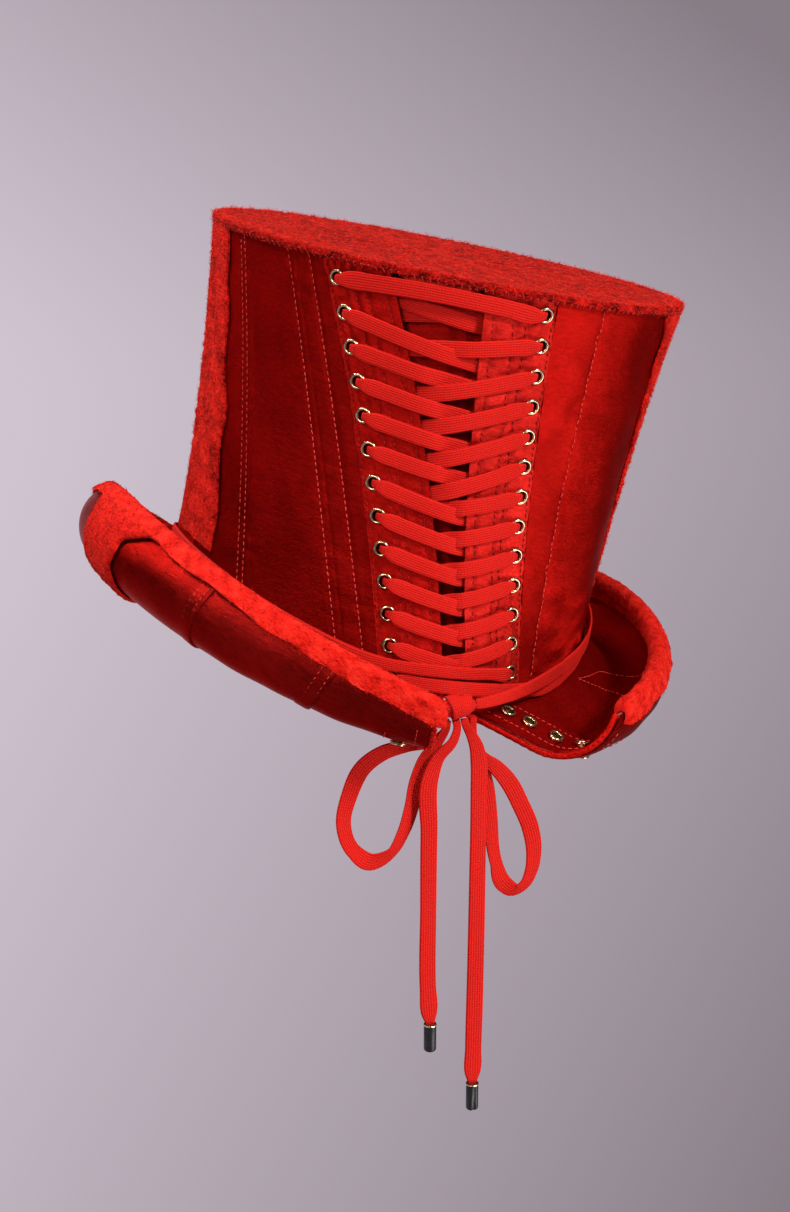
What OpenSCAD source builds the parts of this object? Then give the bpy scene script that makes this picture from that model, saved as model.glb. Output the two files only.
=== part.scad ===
/* [Crown] */
// Height of the tip's middle above the level of the head opening
crown_h = 151; // [135:1:170]
// Width of the crown at its waist
waist_w = 171; // [160:1:184]
// Height of the waist
waist_h = 38; // [28:1:50]
// Width of the crown at the tip
top_w = 187; // [180:1:200]
// Length of the crown beyond its width
oval = 26; // [16:1:34]
// Rise of the tip's back edge above its middle
tip_rise = 5; // [0:0.5:8]
// Turn of the crown's seams between the head opening and the tip, in degrees
twist = 25; // [0:1:28]
// Height of the crown's base at the two sides
side_h = 8; // [5:1:11]
// Drop of the crown's base from the sides to the back
base_dip = 17; // [10:1:20]
// Dip of the crown's base at the front, below its sides
front_dip = 27; // [22:1:30]
// Sideways lean of the hat as it is held up, in degrees
lean = 12.5; // [6:0.5:16]

/* [Layers] */
// Thickness of the satin
satin_t = 0.6; // [0.4:0.1:0.8]
// Thickness of the stiff foundation
foundation_t = 1.5; // [1.2:0.1:1.8]
// Thickness of the lining
lining_t = 0.5; // [0.3:0.1:0.7]
// Thickness of the felt
felt_t = 1.4; // [1.1:0.1:1.7]
// Thickness of the sweatband
sweatband_t = 1.1; // [0.8:0.1:1.6]
// Height of the sweatband
sweatband_h = 34; // [26:1:40]
// Clearance between neighbouring layers
ply = 0.3; // [0.25:0.05:0.4]

/* [Lacing] */
// Eyelets in each column on the crown
eyelet_rows = 13; // [11:2:13]
// Height of the lowest pair of eyelets
eyelet_low = 1.4; // [1:0.1:2.5]
// Half spread of the eyelet columns at the foot
spread_low = 25.5; // [24.5:0.5:28]
// Half spread of the eyelet columns at the top
spread_top = 40.3; // [38:0.1:42]
// Distance from the lowest eyelets to their plackets' edges
placket_low = 20.5; // [20:0.5:21]
// Distance from the top eyelets to their plackets' edges
placket_top = 23; // [22:0.5:24]
// Bore of each eyelet
eyelet_bore = 4; // [3.8:0.1:4.2]
// Flange diameter of each eyelet
eyelet_d = 6.5; // [6.2:0.1:6.8]
// Width of the flat lace
lace_w = 7; // [6.4:0.1:7.2]
// Thickness of the flat lace
lace_t = 1.2; // [1:0.1:1.3]

/* [Brim] */
// Width of the brim at the left side, measured along its curve
brim_left_w = 67; // [64:1:72]
// Width of the brim at the right side, measured along its curve
brim_right_w = 57; // [55:1:62]
// Width of the brim at the front and back, measured along its curve
brim_back_w = 58; // [55:1:61]
// Radius of the roll at the left side
roll_left_r = 14.8; // [14:0.2:16]
// Radius of the roll at the right side
roll_right_r = 13; // [12:0.2:14]
// Radius of the upturn at the front and back
roll_back_r = 18.6; // [17:0.2:20]
// Turn of the roll at the left side, in degrees
roll_left_turn = 183; // [165:1:190]
// Turn of the roll at the right side, in degrees
roll_right_turn = 184; // [165:1:190]
// Turn of the upturn at the back, in degrees
roll_back_turn = 83; // [70:1:90]
// Turn of the upturn at the front, in degrees
roll_front_turn = 66; // [60:1:72]
// Slope of the brim where it leaves the left side, in degrees
left_slope = -15; // [-20:1:-8]
// Slope of the brim where it leaves the right side, in degrees
right_slope = -38; // [-40:1:-28]
// Slope of the brim where it leaves the back, in degrees
back_slope = -10.5; // [-13:0.5:-6]
// Slope of the brim where it leaves the front, in degrees
front_slope = -24; // [-28:1:-20]
// Width of the split at the crown, left of the lacing's middle
split_left = 8; // [7.5:0.5:9]
// Width of the split at the crown, right of the lacing's middle
split_right = 5; // [4.5:0.5:6.5]
// Splay of the split's left edge, in degrees
splay_left = 20; // [18:1:22]
// Splay of the split's right edge, in degrees
splay_right = 47; // [45:1:49]
// Width of the felt band along the brim's edge
band_w = 9; // [7:0.5:11]
// Diameter of the brim wire
wire_d = 1.8; // [1.4:0.1:2]

/* [Bow] */
// Length of the knot
knot_l = 15; // [13:0.5:16]
// Diameter of the knot
knot_d = 9; // [8:0.2:9.4]
// Length of the left tail below the knot
left_tail_l = 131; // [100:1:160]
// Length of the right tail below the knot
right_tail_l = 161; // [130:1:190]
// Length of each aglet
aglet_l = 12; // [9:0.5:14]
// Diameter of each aglet
aglet_d = 5; // [4.4:0.1:5.6]

/* [Hidden] */
deg = 180 / PI;
facets = 44;
levels = 5;
brim_steps = 9;
// Angle of the lacing from the back centre at the level of the head opening
lacing_phi = -2;
// Difference in height between the two eyelet columns at the foot and at the top
skew_low = 6.9;
skew_top = 3.1;
// Depth of the top pair of eyelets under the level of the tip
eyelet_down = 5;
eyelet_pitch = (crown_h - eyelet_down - eyelet_low) / (eyelet_rows - 1);
barrel_r = eyelet_bore / 2 + 0.45;
// Rows in which the seams meet the base and the tip, in degrees
double_seam = [-31, -39];
triple_seam = [-59, -56];
right_seam = [23, 40];
strip_in = [-74, -68];
strip_out = [-95, -90];
strip_mid = [-84, -80];
// Depths of the layers under the crown's outer face
found_out = satin_t + ply;
found_in = found_out + foundation_t;
lining_out = found_in + ply;
lining_in = lining_out + lining_t;
inner_out = lining_in + ply;
// Depths of the placket's plies
facing_in = 0.7;
bone_out = facing_in + ply;
bone_in = bone_out + 0.8;
backing_out = bone_in + ply;
backing_in = backing_out + 0.7;
// Depth of the lace's runs behind the plackets
run_in = backing_in + 2.2;
// Depth of the tongue behind the lace
tongue_out = run_in + 1.2;
tongue_t = 1;
// Reach of each placket beyond its eyelets
placket_out = 5;
// Levels of the tip's plies under its top
board_top = felt_t + ply;
board_t = 1.6;
skirt = 2.9;
// Brim plies measured from the middle of its foundation
brim_half = 0.75;
brim_satin_in = brim_half + ply;
brim_satin_out = brim_satin_in + satin_t;
felt_in = brim_satin_out + 2 * ply + 0.2;
felt_out = felt_in + felt_t;
brim_drop = brim_satin_out + ply;
binding_r = 1.9;
binding_off = binding_r + ply;
corner_r = 4;
brim_mix = 0.92;
brim_eyelet_s = [4.8, 12.2, 22, 32];
brim_eyelet_off = 9.5;
seat_up = 0.8;
seat_down = 0.45;
seat_in = 0.25;
washer_t = 0.3;
// Knot's middle in the crown's upright frame
knot_at = [-7.5, -(waist_w / 2 + oval / 2 + 16.5), side_h - base_dip + 4];
knot_r = knot_d / 2;
bow_clear = 0.5;
loop_t = 1.2;
// Distance of the tails behind the knot
tail_y = 4.8;

function mix(a, b, t) = a + (b - a) * t;
function unit(v) = v / norm(v);
function clamp(x, a, b) = min(max(x, a), b);

// Crown surface
function half_w(z) = waist_w / 2 + (top_w - waist_w) / 2 * pow((z - waist_h) / (crown_h - waist_h), 2);
function flare(z) = (top_w - waist_w) * (z - waist_h) / pow(crown_h - waist_h, 2);
function turn(z) = -twist * z / crown_h;
function ends(a, back, front) = cos(a) < 0 ? front : back;
function base_z(a) = side_h - ends(a, base_dip, front_dip) * cos(a) * cos(a);
function tip_z(a) = crown_h + tip_rise * cos(a);
function crown_at(a, z, h) = [(half_w(z) + h) * sin(a), -(half_w(z) + oval / 2 + h) * cos(a), z];
function crown_pt(p, z, h) = crown_at(p + turn(z), z, h);
function spread(z) =
  let (t = clamp((z - eyelet_low) / (crown_h - eyelet_down - eyelet_low), 0, 1.05))
  mix(spread_low, spread_top, t * t);
function gap(z) =
  let (t = clamp((z - eyelet_low) / (crown_h - eyelet_down - eyelet_low), 0, 1))
  spread(z) - mix(placket_low, placket_top, t);
function arc(w, z) = lacing_phi + w / half_w(z) * deg;
function seam(s, z) = mix(s[0], s[1], z / crown_h);
function normal(p, z) =
  let (a = p + turn(z), w = half_w(z))
  unit([sin(a) / w, -cos(a) / (w + oval / 2), -flare(z) / w]);

// Solid between two grids of points; columns before the swap are parted along the other diagonal
module shell(out, in, swap = 0) {
  nu = len(out) - 1;
  nv = len(out[0]) - 1;
  n = (nu + 1) * (nv + 1);
  pts = concat([for (c = out) for (p = c) p], [for (c = in) for (p = c) p]);
  top = [for (i = [0 : nu - 1]) for (j = [0 : nv - 1])
    let (a = i * (nv + 1) + j, b = a + nv + 1)
    each i < swap ? [[a, a + 1, b], [b, a + 1, b + 1]] : [[a, b + 1, b], [a, a + 1, b + 1]]];
  low = [for (f = top) [f[0] + n, f[2] + n, f[1] + n]];
  rims = [for (i = [0 : nu - 1])
    let (a = i * (nv + 1), b = a + nv + 1, c = a + nv, d = b + nv)
    each [[a, b, b + n], [a, b + n, a + n], [c, d + n, d], [c, c + n, d + n]]];
  ends = [for (j = [0 : nv - 1])
    let (a = j, b = j + 1, c = nu * (nv + 1) + j, d = c + 1)
    each [[a, b + n, b], [a, a + n, b + n], [c, d, d + n], [c, d + n, c + n]]];
  polyhedron(points = pts, faces = concat(top, low, rims, ends), convexity = 10);
}

// Solid through a row of rings, each ring with the same number of points
module loft(rings) {
  m = len(rings);
  n = len(rings[0]);
  pts = [for (r = rings) for (p = r) p];
  skin = [for (i = [0 : m - 2]) for (k = [0 : n - 1])
    let (a = i * n + k, b = i * n + (k + 1) % n, c = a + n, d = b + n)
    each [[a, c, d], [a, d, b]]];
  caps = [[for (k = [0 : n - 1]) k], [for (k = [n - 1 : -1 : 0]) (m - 1) * n + k]];
  polyhedron(points = pts, faces = concat(skin, caps), convexity = 10);
}

// Part of the crown's wall between two edges, two heights and two depths
module wall(p0, p1, z0, z1, h0, h1, nu, nv) {
  grid = function (h) [for (i = [0 : nu]) [for (j = [0 : nv])
    let (g = mix(side_h - base_dip, crown_h, j / nv))
    let (p = mix(p0(g), p1(g), i / nu))
    let (z = mix(z0(p), z1(p), j / nv))
    crown_pt(p, z, is_function(h) ? h(p, z) : h)]];
  shell(grid(h0), grid(h1));
}

foot = function (p) base_z(p + turn(base_z(p + turn(base_z(p)))));
head = function (p) tip_z(p + turn(crown_h)) - board_top - ply;
under_tip = function (p) tip_z(p + turn(crown_h)) - board_top - board_t - lining_t - 3 * ply;
edge_r = function (z) arc(spread(z) + placket_out + ply, z);
edge_l = function (z) 360 + arc(-spread(z) - placket_out - ply, z);

module satin_panel(p0, p1, nu) {
  color([0.55, 0.05, 0.04])
    wall(p0, p1, foot, head, 0, -satin_t, nu, levels);
}

seam_gap = 0.1;
module left_rear_panel() {
  satin_panel(function (z) seam(double_seam, z) + seam_gap, function (z) edge_l(z) - 360, 4);
}
module left_quarter_panel() {
  satin_panel(function (z) seam(triple_seam, z) + seam_gap, function (z) seam(double_seam, z) - seam_gap, 5);
}
module left_side_panel() {
  satin_panel(function (z) seam(strip_mid, z) + seam_gap, function (z) seam(triple_seam, z) - seam_gap, 5);
}
module right_rear_panel() {
  satin_panel(function (z) edge_r(z), function (z) seam(right_seam, z) - seam_gap, 3);
}
module right_side_panel() {
  satin_panel(function (z) seam(right_seam, z) + seam_gap, function (z) -seam(strip_mid, z) - seam_gap, 10);
}
module front_panel() {
  satin_panel(function (z) -seam(strip_mid, z) + seam_gap, function (z) 360 + seam(strip_mid, z) - seam_gap, 27);
}

module felt_strip(s) {
  low = function (p) foot(p) + 15;
  top = function (p) tip_z(p + turn(crown_h)) - skirt - ply;
  a = function (z) s < 0 ? seam(strip_out, z) : -seam(strip_in, z);
  b = function (z) s < 0 ? seam(strip_in, z) : -seam(strip_out, z);
  color([0.72, 0.11, 0.08])
    wall(a, b, low, top, ply + felt_t, ply, 4, levels);
}
module left_felt_strip() {
  felt_strip(-1);
}
module right_felt_strip() {
  felt_strip(1);
}

module crown_foundation() {
  top = function (p) tip_z(p + turn(crown_h)) - board_top - board_t - ply;
  color([0.8, 0.76, 0.66])
    wall(edge_r, edge_l, foot, top, -found_out, -found_in, facets, levels);
}

module crown_lining() {
  color([0.3, 0.05, 0.05])
    wall(edge_r, edge_l, foot, under_tip, -lining_out, -lining_in, facets, levels);
}

module sweatband() {
  a = function (z) arc(spread(z) + 15, z);
  b = function (z) 360 + arc(-spread(z) - 15, z);
  top = function (p) foot(p) + sweatband_h;
  color([0.2, 0.1, 0.07])
    wall(a, b, foot, top, -inner_out, -inner_out - sweatband_t, facets, 3);
}

// Oval ring on the tip's slope, at a depth under its top
function tip_ring(h, d) = [for (k = [0 : facets - 1])
  let (a = k * 360 / facets)
  let (w = half_w(crown_h + tip_rise * cos(a) - d) + h, y = -(w + oval / 2) * cos(a))
  [w * sin(a), y, crown_h - d - tip_rise * y / (top_w / 2 + oval / 2)]];

module tip_felt() {
  in = 2 * ply;
  out = in + felt_t;
  color([0.72, 0.11, 0.08])
    loft([tip_ring(in, felt_t), tip_ring(in, skirt), tip_ring(out, skirt), tip_ring(out, 0.9), tip_ring(out - 0.8, 0)]);
}
module tip_board() {
  color([0.8, 0.76, 0.66])
    loft([tip_ring(-found_out - 0.1, board_top + board_t), tip_ring(-found_out - 0.1, board_top)]);
}
module tip_lining() {
  d = board_top + board_t + ply;
  color([0.3, 0.05, 0.05])
    loft([tip_ring(-lining_out - 0.1, d + lining_t), tip_ring(-lining_out - 0.1, d)]);
}

// Eyelets
function row_z(s, k) =
  let (z = eyelet_low + k * eyelet_pitch)
  z + s * mix(skew_low, skew_top, k / (eyelet_rows - 1)) / 2;
function hole_phi(s, k) =
  let (z = row_z(s, k))
  arc(s * spread(z), z);
module on_crown(s, k) {
  z = row_z(s, k);
  p = hole_phi(s, k);
  n = normal(p, z);
  translate(crown_pt(p, z, 0))
    rotate([0, acos(n[2]), atan2(n[1], n[0])])
      children();
}
module eyelet(low) {
  rotate_extrude($fn = 32)
    polygon([[eyelet_bore / 2, 0.5], [eyelet_bore / 2 + 0.4, 0.9], [eyelet_d / 2 - 0.3, 0.75],
      [eyelet_d / 2, 0.25], [barrel_r, 0.25], [barrel_r, -low], [barrel_r + 0.4, -low - 0.25],
      [barrel_r + 0.3, -low - 0.55], [eyelet_bore / 2, -low - 0.55]]);
}
module washer(top) {
  translate([0, 0, -top])
    rotate_extrude($fn = 32)
      polygon([[barrel_r + 0.1, 0], [eyelet_d / 2, 0], [eyelet_d / 2, -washer_t], [barrel_r + 0.1, -washer_t]]);
}
module hole() {
  cylinder(r = barrel_r + 0.05, h = 16, center = true, $fn = 32);
}
module crown_eyelets(s) {
  color([0.62, 0.5, 0.3])
    for (k = [0 : eyelet_rows - 1])
      on_crown(s, k)
        eyelet(backing_in + seat_in + washer_t + 0.05);
}
module crown_washers(s) {
  color([0.5, 0.42, 0.28])
    for (k = [0 : eyelet_rows - 1])
      on_crown(s, k)
        washer(backing_in + seat_in);
}
module left_eyelets() {
  crown_eyelets(-1);
}
module right_eyelets() {
  crown_eyelets(1);
}
module left_washers() {
  crown_washers(-1);
}
module right_washers() {
  crown_washers(1);
}

// Plackets
function placket_a(s, z, d) = arc(s * (gap(z) + d), z);
module placket_ply(s, d0, d1, top, h0, h1, nu) {
  a = function (z) s < 0 ? arc(-spread(z) - d1, z) : placket_a(1, z, d0);
  b = function (z) s < 0 ? placket_a(-1, z, d0) : arc(spread(z) + d1, z);
  wall(a, b, foot, top, -h0, -h1, nu, levels);
}
module placket_facing(s) {
  color([0.5, 0.04, 0.03])
    difference() {
      placket_ply(s, 0, placket_out, head, 0, facing_in, 5);
      for (k = [0 : eyelet_rows - 1])
        on_crown(s, k)
          hole();
    }
}
module placket_backing(s) {
  color([0.4, 0.04, 0.03])
    difference() {
      placket_ply(s, 0, placket_out, under_tip, backing_out, backing_in, 5);
      for (k = [0 : eyelet_rows - 1])
        on_crown(s, k)
          hole();
    }
}
module placket_bone(s) {
  a = function (z) s < 0 ? placket_a(-1, z, 10) : placket_a(1, z, 4);
  b = function (z) s < 0 ? placket_a(-1, z, 4) : placket_a(1, z, 10);
  low = function (p) foot(p) + 2;
  top = function (p) under_tip(p) - 1;
  color([0.7, 0.7, 0.72])
    wall(a, b, low, top, -bone_out, -bone_in, 2, levels);
}
module left_placket_facing() {
  placket_facing(-1);
}
module right_placket_facing() {
  placket_facing(1);
}
module left_placket_backing() {
  placket_backing(-1);
}
module right_placket_backing() {
  placket_backing(1);
}
module left_bone() {
  placket_bone(-1);
}
module right_bone() {
  placket_bone(1);
}

module tongue() {
  a = function (z) arc(-spread(z) - 13, z);
  b = function (z) arc(spread(z) + 13, z);
  top = function (p) under_tip(p) - 0.5;
  deep = function (p, z)
    let (w = abs(p - lacing_phi) * half_w(z) / deg - spread(z))
    mix(tongue_out, inner_out, clamp((w - 4) / 5, 0, 1));
  color([0.6, 0.05, 0.04])
    wall(a, b, foot, top, function (p, z) -deep(p, z), function (p, z) -deep(p, z) - tongue_t, 18, levels);
}

// Brim profile: place and direction at a distance along its curve
function brim_k(a) = pow(abs(sin(a)), brim_mix);
function sided(a, l, r) = sin(a) < 0 ? l : r;
function brim_w(a) = mix(brim_back_w, sided(a, brim_left_w, brim_right_w), brim_k(a));
function brim_prof(a, s) =
  let (k = brim_k(a), w = brim_w(a), c = min(s, w))
  let (r = mix(roll_back_r, sided(a, roll_left_r, roll_right_r), k))
  let (t = mix(ends(a, roll_back_turn, roll_front_turn), sided(a, roll_left_turn, roll_right_turn), k))
  let (q = mix(ends(a, back_slope, front_slope), sided(a, left_slope, right_slope), k), l = w - r * t / deg)
  let (b = c < 0 ? [c, 0, 0]
    : c <= l ? [c * cos(q), c * sin(q), c < 1 ? q / 2 : q]
    : let (e = q + (c - l) / r * deg)
      [l * cos(q) + r * (sin(e) - sin(q)), l * sin(q) + r * (cos(q) - cos(e)), e])
  [b[0] + (s - c) * cos(b[2]), b[1] + (s - c) * sin(b[2]), b[2]];
function brim_pt(a, s, h) =
  let (f = brim_prof(a, s), w = half_w(base_z(a)), b = w + oval / 2)
  let (n = unit([sin(a) / w, -cos(a) / b, 0]), r = f[0] - h * sin(f[2]))
  [w * sin(a) + r * n[0], -b * cos(a) + r * n[1], base_z(a) - brim_drop + f[1] + h * cos(f[2])];
function corner(s) =
  let (d = clamp(s - brim_back_w + corner_r, 0, corner_r - 0.2))
  corner_r - sqrt(corner_r * corner_r - d * d);
function splay(side) = side < 0 ? splay_left : splay_right;
function edge_x(s, side) =
  (side < 0 ? split_left : split_right) + max(s, 0) * tan(splay(side)) + corner(s);
// Angle at which a point beside the split stands at a distance along the brim
function split_at(x, s) =
  let (w = waist_w / 2 + 1)
  asin(x / (w + max(s, 0) * (w + oval / 2) / w));
function split_a(s, off, side) = split_at(edge_x(s, side) + off / cos(splay(side)), s);

module brim_ply(h0, h1, s0, trim) {
  nv = brim_steps + 1;
  grid = function (h) [for (i = [0 : facets]) [for (j = [0 : nv])
    let (f = j == 0 ? 0 : (j - 1) / (nv - 1))
    let (b = j == 0 ? s0 : mix(0.4, brim_back_w - trim, f))
    let (a = lacing_phi + mix(split_a(b, 0, 1), 360 - split_a(b, 0, -1), i / facets))
    let (s = j == 0 ? s0 : mix(0.4, brim_w(a) - trim, f))
    brim_pt(a, s, h)]];
  shell(grid(h1), grid(h0), facets / 2);
}
module on_brim(s, k) {
  d = brim_eyelet_s[k];
  a = lacing_phi + s * split_a(d, brim_eyelet_off, s);
  f = brim_prof(a, d);
  w = half_w(base_z(a));
  n = unit([sin(a) / w, -cos(a) / (w + oval / 2), 0]);
  translate(brim_pt(a, d, 0))
    rotate([0, -f[2], atan2(n[1], n[0])])
      children();
}
module brim_holes() {
  for (s = [-1, 1])
    for (k = [0 : len(brim_eyelet_s) - 1])
      on_brim(s, k)
        hole();
}
module brim_foundation() {
  color([0.8, 0.76, 0.66])
    difference() {
      brim_ply(brim_half, -brim_half, -3, 1.2);
      brim_holes();
    }
}
module brim_satin() {
  color([0.5, 0.04, 0.03])
    difference() {
      brim_ply(brim_satin_out, brim_satin_in, -3, 1.2);
      brim_holes();
    }
}
module under_satin() {
  color([0.55, 0.05, 0.04])
    difference() {
      brim_ply(-brim_satin_in, -brim_satin_out, -3, 1.2);
      brim_holes();
    }
}
function band_start(side) = split_a(brim_back_w, 0, side) + 0.3;
function brim_angle(i) = lacing_phi + mix(band_start(1), 360 - band_start(-1), i / facets);
module brim_wire() {
  color([0.6, 0.6, 0.62])
    loft([for (i = [facets : -1 : 0])
      let (a = brim_angle(i), w = brim_w(a))
      [for (k = [0 : 5]) brim_pt(a, w + wire_d / 2 * cos(k * 60), wire_d / 2 * sin(k * 60))]]);
}
module brim_felt_band() {
  sect = concat(
    [[-band_w, felt_out], [-band_w / 2, felt_out]],
    [for (k = [90 : -45 : -90]) [felt_out * cos(k), felt_out * sin(k)]],
    [[-band_w / 2, -felt_out], [-band_w, -felt_out], [-band_w, -felt_in], [-band_w / 2, -felt_in]],
    [for (k = [-90 : 45 : 90]) [felt_in * cos(k), felt_in * sin(k)]],
    [[-band_w / 2, felt_in], [-band_w, felt_in]]);
  color([0.72, 0.11, 0.08])
    loft([for (i = [0 : facets])
      let (a = brim_angle(i), w = brim_w(a))
      [for (q = sect) brim_pt(a, w + q[0], q[1])]]);
}
module under_strip(s) {
  nu = 4;
  nv = brim_steps - 2;
  grid = function (h) [for (i = [0 : nu]) [for (j = [0 : nv])
    let (a = s < 0 ? mix(-98, -80, i / nu) : mix(80, 98, i / nu))
    brim_pt(a, mix(2.4, brim_w(a) - band_w - 2 * ply, j / nv), h)]];
  color([0.72, 0.11, 0.08])
    shell(grid(-felt_out), grid(-felt_in));
}
module left_under_strip() {
  under_strip(-1);
}
module right_under_strip() {
  under_strip(1);
}
module split_binding(s) {
  n = 16;
  ctr = [for (i = [0 : n])
    let (d = mix(1.5, brim_back_w - band_w - 1.5, pow(i / n, 0.75)))
    let (g = (edge_x(d + 0.1, s) - edge_x(d - 0.1, s)) / 0.2, m = binding_off / sqrt(1 + g * g))
    let (x = edge_x(d, s) - m, q = d + m * g)
    let (a = lacing_phi + s * split_at(x, q))
    brim_pt(a, q * brim_w(a) / brim_back_w, 0)];
  color([0.66, 0.09, 0.07])
    loft([for (i = [n : -1 : 0])
      let (t = unit(ctr[min(i + 1, n)] - ctr[max(i - 1, 0)]))
      let (u = unit(cross(t, [0, 0, 1])), v = cross(u, t))
      [for (k = [0 : 7]) ctr[i] + binding_r * (cos(k * 45) * u + sin(k * 45) * v)]]);
}
module left_split_binding() {
  split_binding(-1);
}
module right_split_binding() {
  split_binding(1);
}
module brim_eyelets(s) {
  color([0.62, 0.5, 0.3])
    for (k = [0 : len(brim_eyelet_s) - 1])
      on_brim(s, k)
        translate([0, 0, brim_satin_out + seat_up])
          eyelet(2 * brim_satin_out + seat_up + seat_down + 0.45);
}
module brim_washers(s) {
  color([0.5, 0.42, 0.28])
    for (k = [0 : len(brim_eyelet_s) - 1])
      on_brim(s, k)
        washer(brim_satin_out + seat_down);
}
module left_brim_eyelets() {
  brim_eyelets(-1);
}
module right_brim_eyelets() {
  brim_eyelets(1);
}
module left_brim_washers() {
  brim_washers(-1);
}
module right_brim_washers() {
  brim_washers(1);
}

// Lace
function ribbon(c, t, v, w, d) =
  let (n = d / 2 * cross(t, v), e = w / 2 * v)
  [c + e + n, c - e + n, c - e - n, c + e - n];
squeeze_w = eyelet_bore * 0.66;
squeeze_t = eyelet_bore * 0.4;
// Points of one strand from its eyelet to the next one down on the other side: angle, height, depth, width, thickness
function out_bend(s, k, e) =
  let (z = row_z(s, k), w = spread(z))
  [[s * w, z, 0.2, squeeze_w, squeeze_t],
    [s * (w - 0.5), z, 1.45, squeeze_w, squeeze_t],
    [s * (w - 1.9), z, 2, squeeze_w + 0.6, squeeze_t],
    [s * (w - 4), mix(z, e[1], 0.12), 1.9, 5.2, 1.5]];
function in_bend(s, k, e) =
  let (z = row_z(s, k), w = spread(z))
  [[s * (w - 5), mix(z, e[1], 0.25), -run_in, 5.4, lace_t],
    [s * (w - 1.9), z, -run_in, squeeze_w + 0.4, squeeze_t - 0.2],
    [s * (w - 0.5), z, -run_in + 0.35, squeeze_w, squeeze_t],
    [s * w, z, -run_in + 1.5, squeeze_w, squeeze_t]];
dive_late = [[0.06, 1.05], [0.3, 0.6], [0.55, -0.6], [0.75, -2.6], [1, -run_in]];
dive_early = [[0.06, 1.05], [0.25, -0.9], [0.45, -2.9], [0.7, -4.3], [1, -run_in]];
gap_w = 4.6;
// Row number k counts down from the top
function strand(s, k) =
  let (r = eyelet_rows - 1 - k)
  let (z0 = row_z(s, r), z1 = row_z(-s, r - 1))
  let (g0 = gap(z0), g1 = gap(z1))
  let (drop = s < 0 ? 0.95 : 0.33, dive = s < 0 ? dive_late : dive_early)
  let (ze = mix(z0, z1, 0.25), zf = mix(z0, z1, drop))
  concat(out_bend(s, r, [0, ze]),
    [[s * (g0 + 11), mix(z0, ze, 0.5), 1.05, lace_w, lace_t]],
    [for (d = dive) [mix(s * g0, -s * g1, d[0]), mix(ze, zf, d[0]), d[1], gap_w, lace_t]],
    [[-s * (g1 + 8), mix(zf, z1, 0.5), -run_in, lace_w - 0.8, lace_t]],
    in_bend(-s, r - 1, [0, zf]));
// First inner strand of each half, from the bar's eyelet down to the second row
function first_strand(s) =
  let (r = eyelet_rows - 1)
  let (z0 = row_z(s, r), z1 = row_z(-s, r - 1))
  let (lift = s < 0 ? 2.1 : 0, b = in_bend(s, r, [0, z1]))
  concat([for (i = [3 : -1 : 0]) b[i]],
    [for (f = [0.2, 0.35, 0.5, 0.65, 0.8])
      [mix(s * spread(z0), -s * spread(z1), f), mix(z0, z1, f),
        -run_in + lift * (f > 0.3 && f < 0.7 ? 1 : 0), gap_w, lace_t]],
    in_bend(-s, r - 1, [0, z0]));
// Band round the crown's base: the end that leaves the right column runs above the other,
// and each end starts against the crown and passes outside the other one at the front
band_upper = 8.6;
band_lower = 3.9;
function band_z(s, a) =
  let (f = pow(clamp(-cos(a), 0, 1), 4))
  base_z(a) + (s > 0 ? band_upper + 4.8 * f : band_lower - 0.2 * f);
function band_deep(p) = mix(1.15, 2.6, clamp((abs(p) - 150) / 60, 0, 1));
function knot_end(s, d) = knot_at + s * (knot_l / 2 + d) * [cos(lean), 0, sin(lean)];
function lace_at(p, z, h) = crown_pt(p, z, 0) + h * normal(p, z);
function placed(q) = [for (p = q) [lace_at(p[0], p[1], p[2]), p[0] + turn(p[1]), p[1], p[3], p[4]]];
function hatband(s) =
  let (z = row_z(s, 0), e = knot_end(s, 2.8))
  let (q = out_bend(s, 0, [0, z]))
  let (start = [for (i = [0 : 3]) [arc(q[i][0], q[i][1]), q[i][1], i == 3 && s > 0 ? 3 : q[i][2], q[i][3], q[i][4]]])
  let (p0 = arc(s * (spread(z) - 9), z))
  let (first = [for (f = [0 : 0.2 : 0.8])
    [mix(p0, -s * 26, f), mix(z, band_z(s, 26), s > 0 ? f : f * f), s > 0 ? 2.6 : 1.7, lace_w - (s > 0 ? 2 : 1.4), lace_t]])
  let (round = [for (i = [0 : 43])
    let (p = -s * mix(26, 322, i / 43))
    [p, band_z(s, p), i < 2 ? 1.8 : band_deep(p), lace_w, lace_t]])
  let (a = lace_at(-s * 322, band_z(s, 322), band_deep(322)), b = e + [s * 20, 1, 5])
  let (last = [for (f = [0.2, 0.4, 0.6, 0.8, 1])
    [(1 - f) * (1 - f) * a + 2 * f * (1 - f) * b + f * f * e, s * mix(38, 5, f), mix(band_z(s, 322), e[2], f),
      mix(lace_w, 4.4, f), lace_t]])
  concat(placed(concat(start, first, round)), last, [[knot_end(s, 0.4), s * 5, e[2], 4, lace_t]]);
function to_phi(q) = [for (p = q) [arc(p[0], p[1]), p[1], p[2], p[3], p[4]]];
function half_lace(s) =
  concat(placed(to_phi(first_strand(s))),
    [for (k = [1 : eyelet_rows - 2]) each placed(to_phi(strand(k % 2 == 1 ? -s : s, k)))],
    hatband(s));
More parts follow.
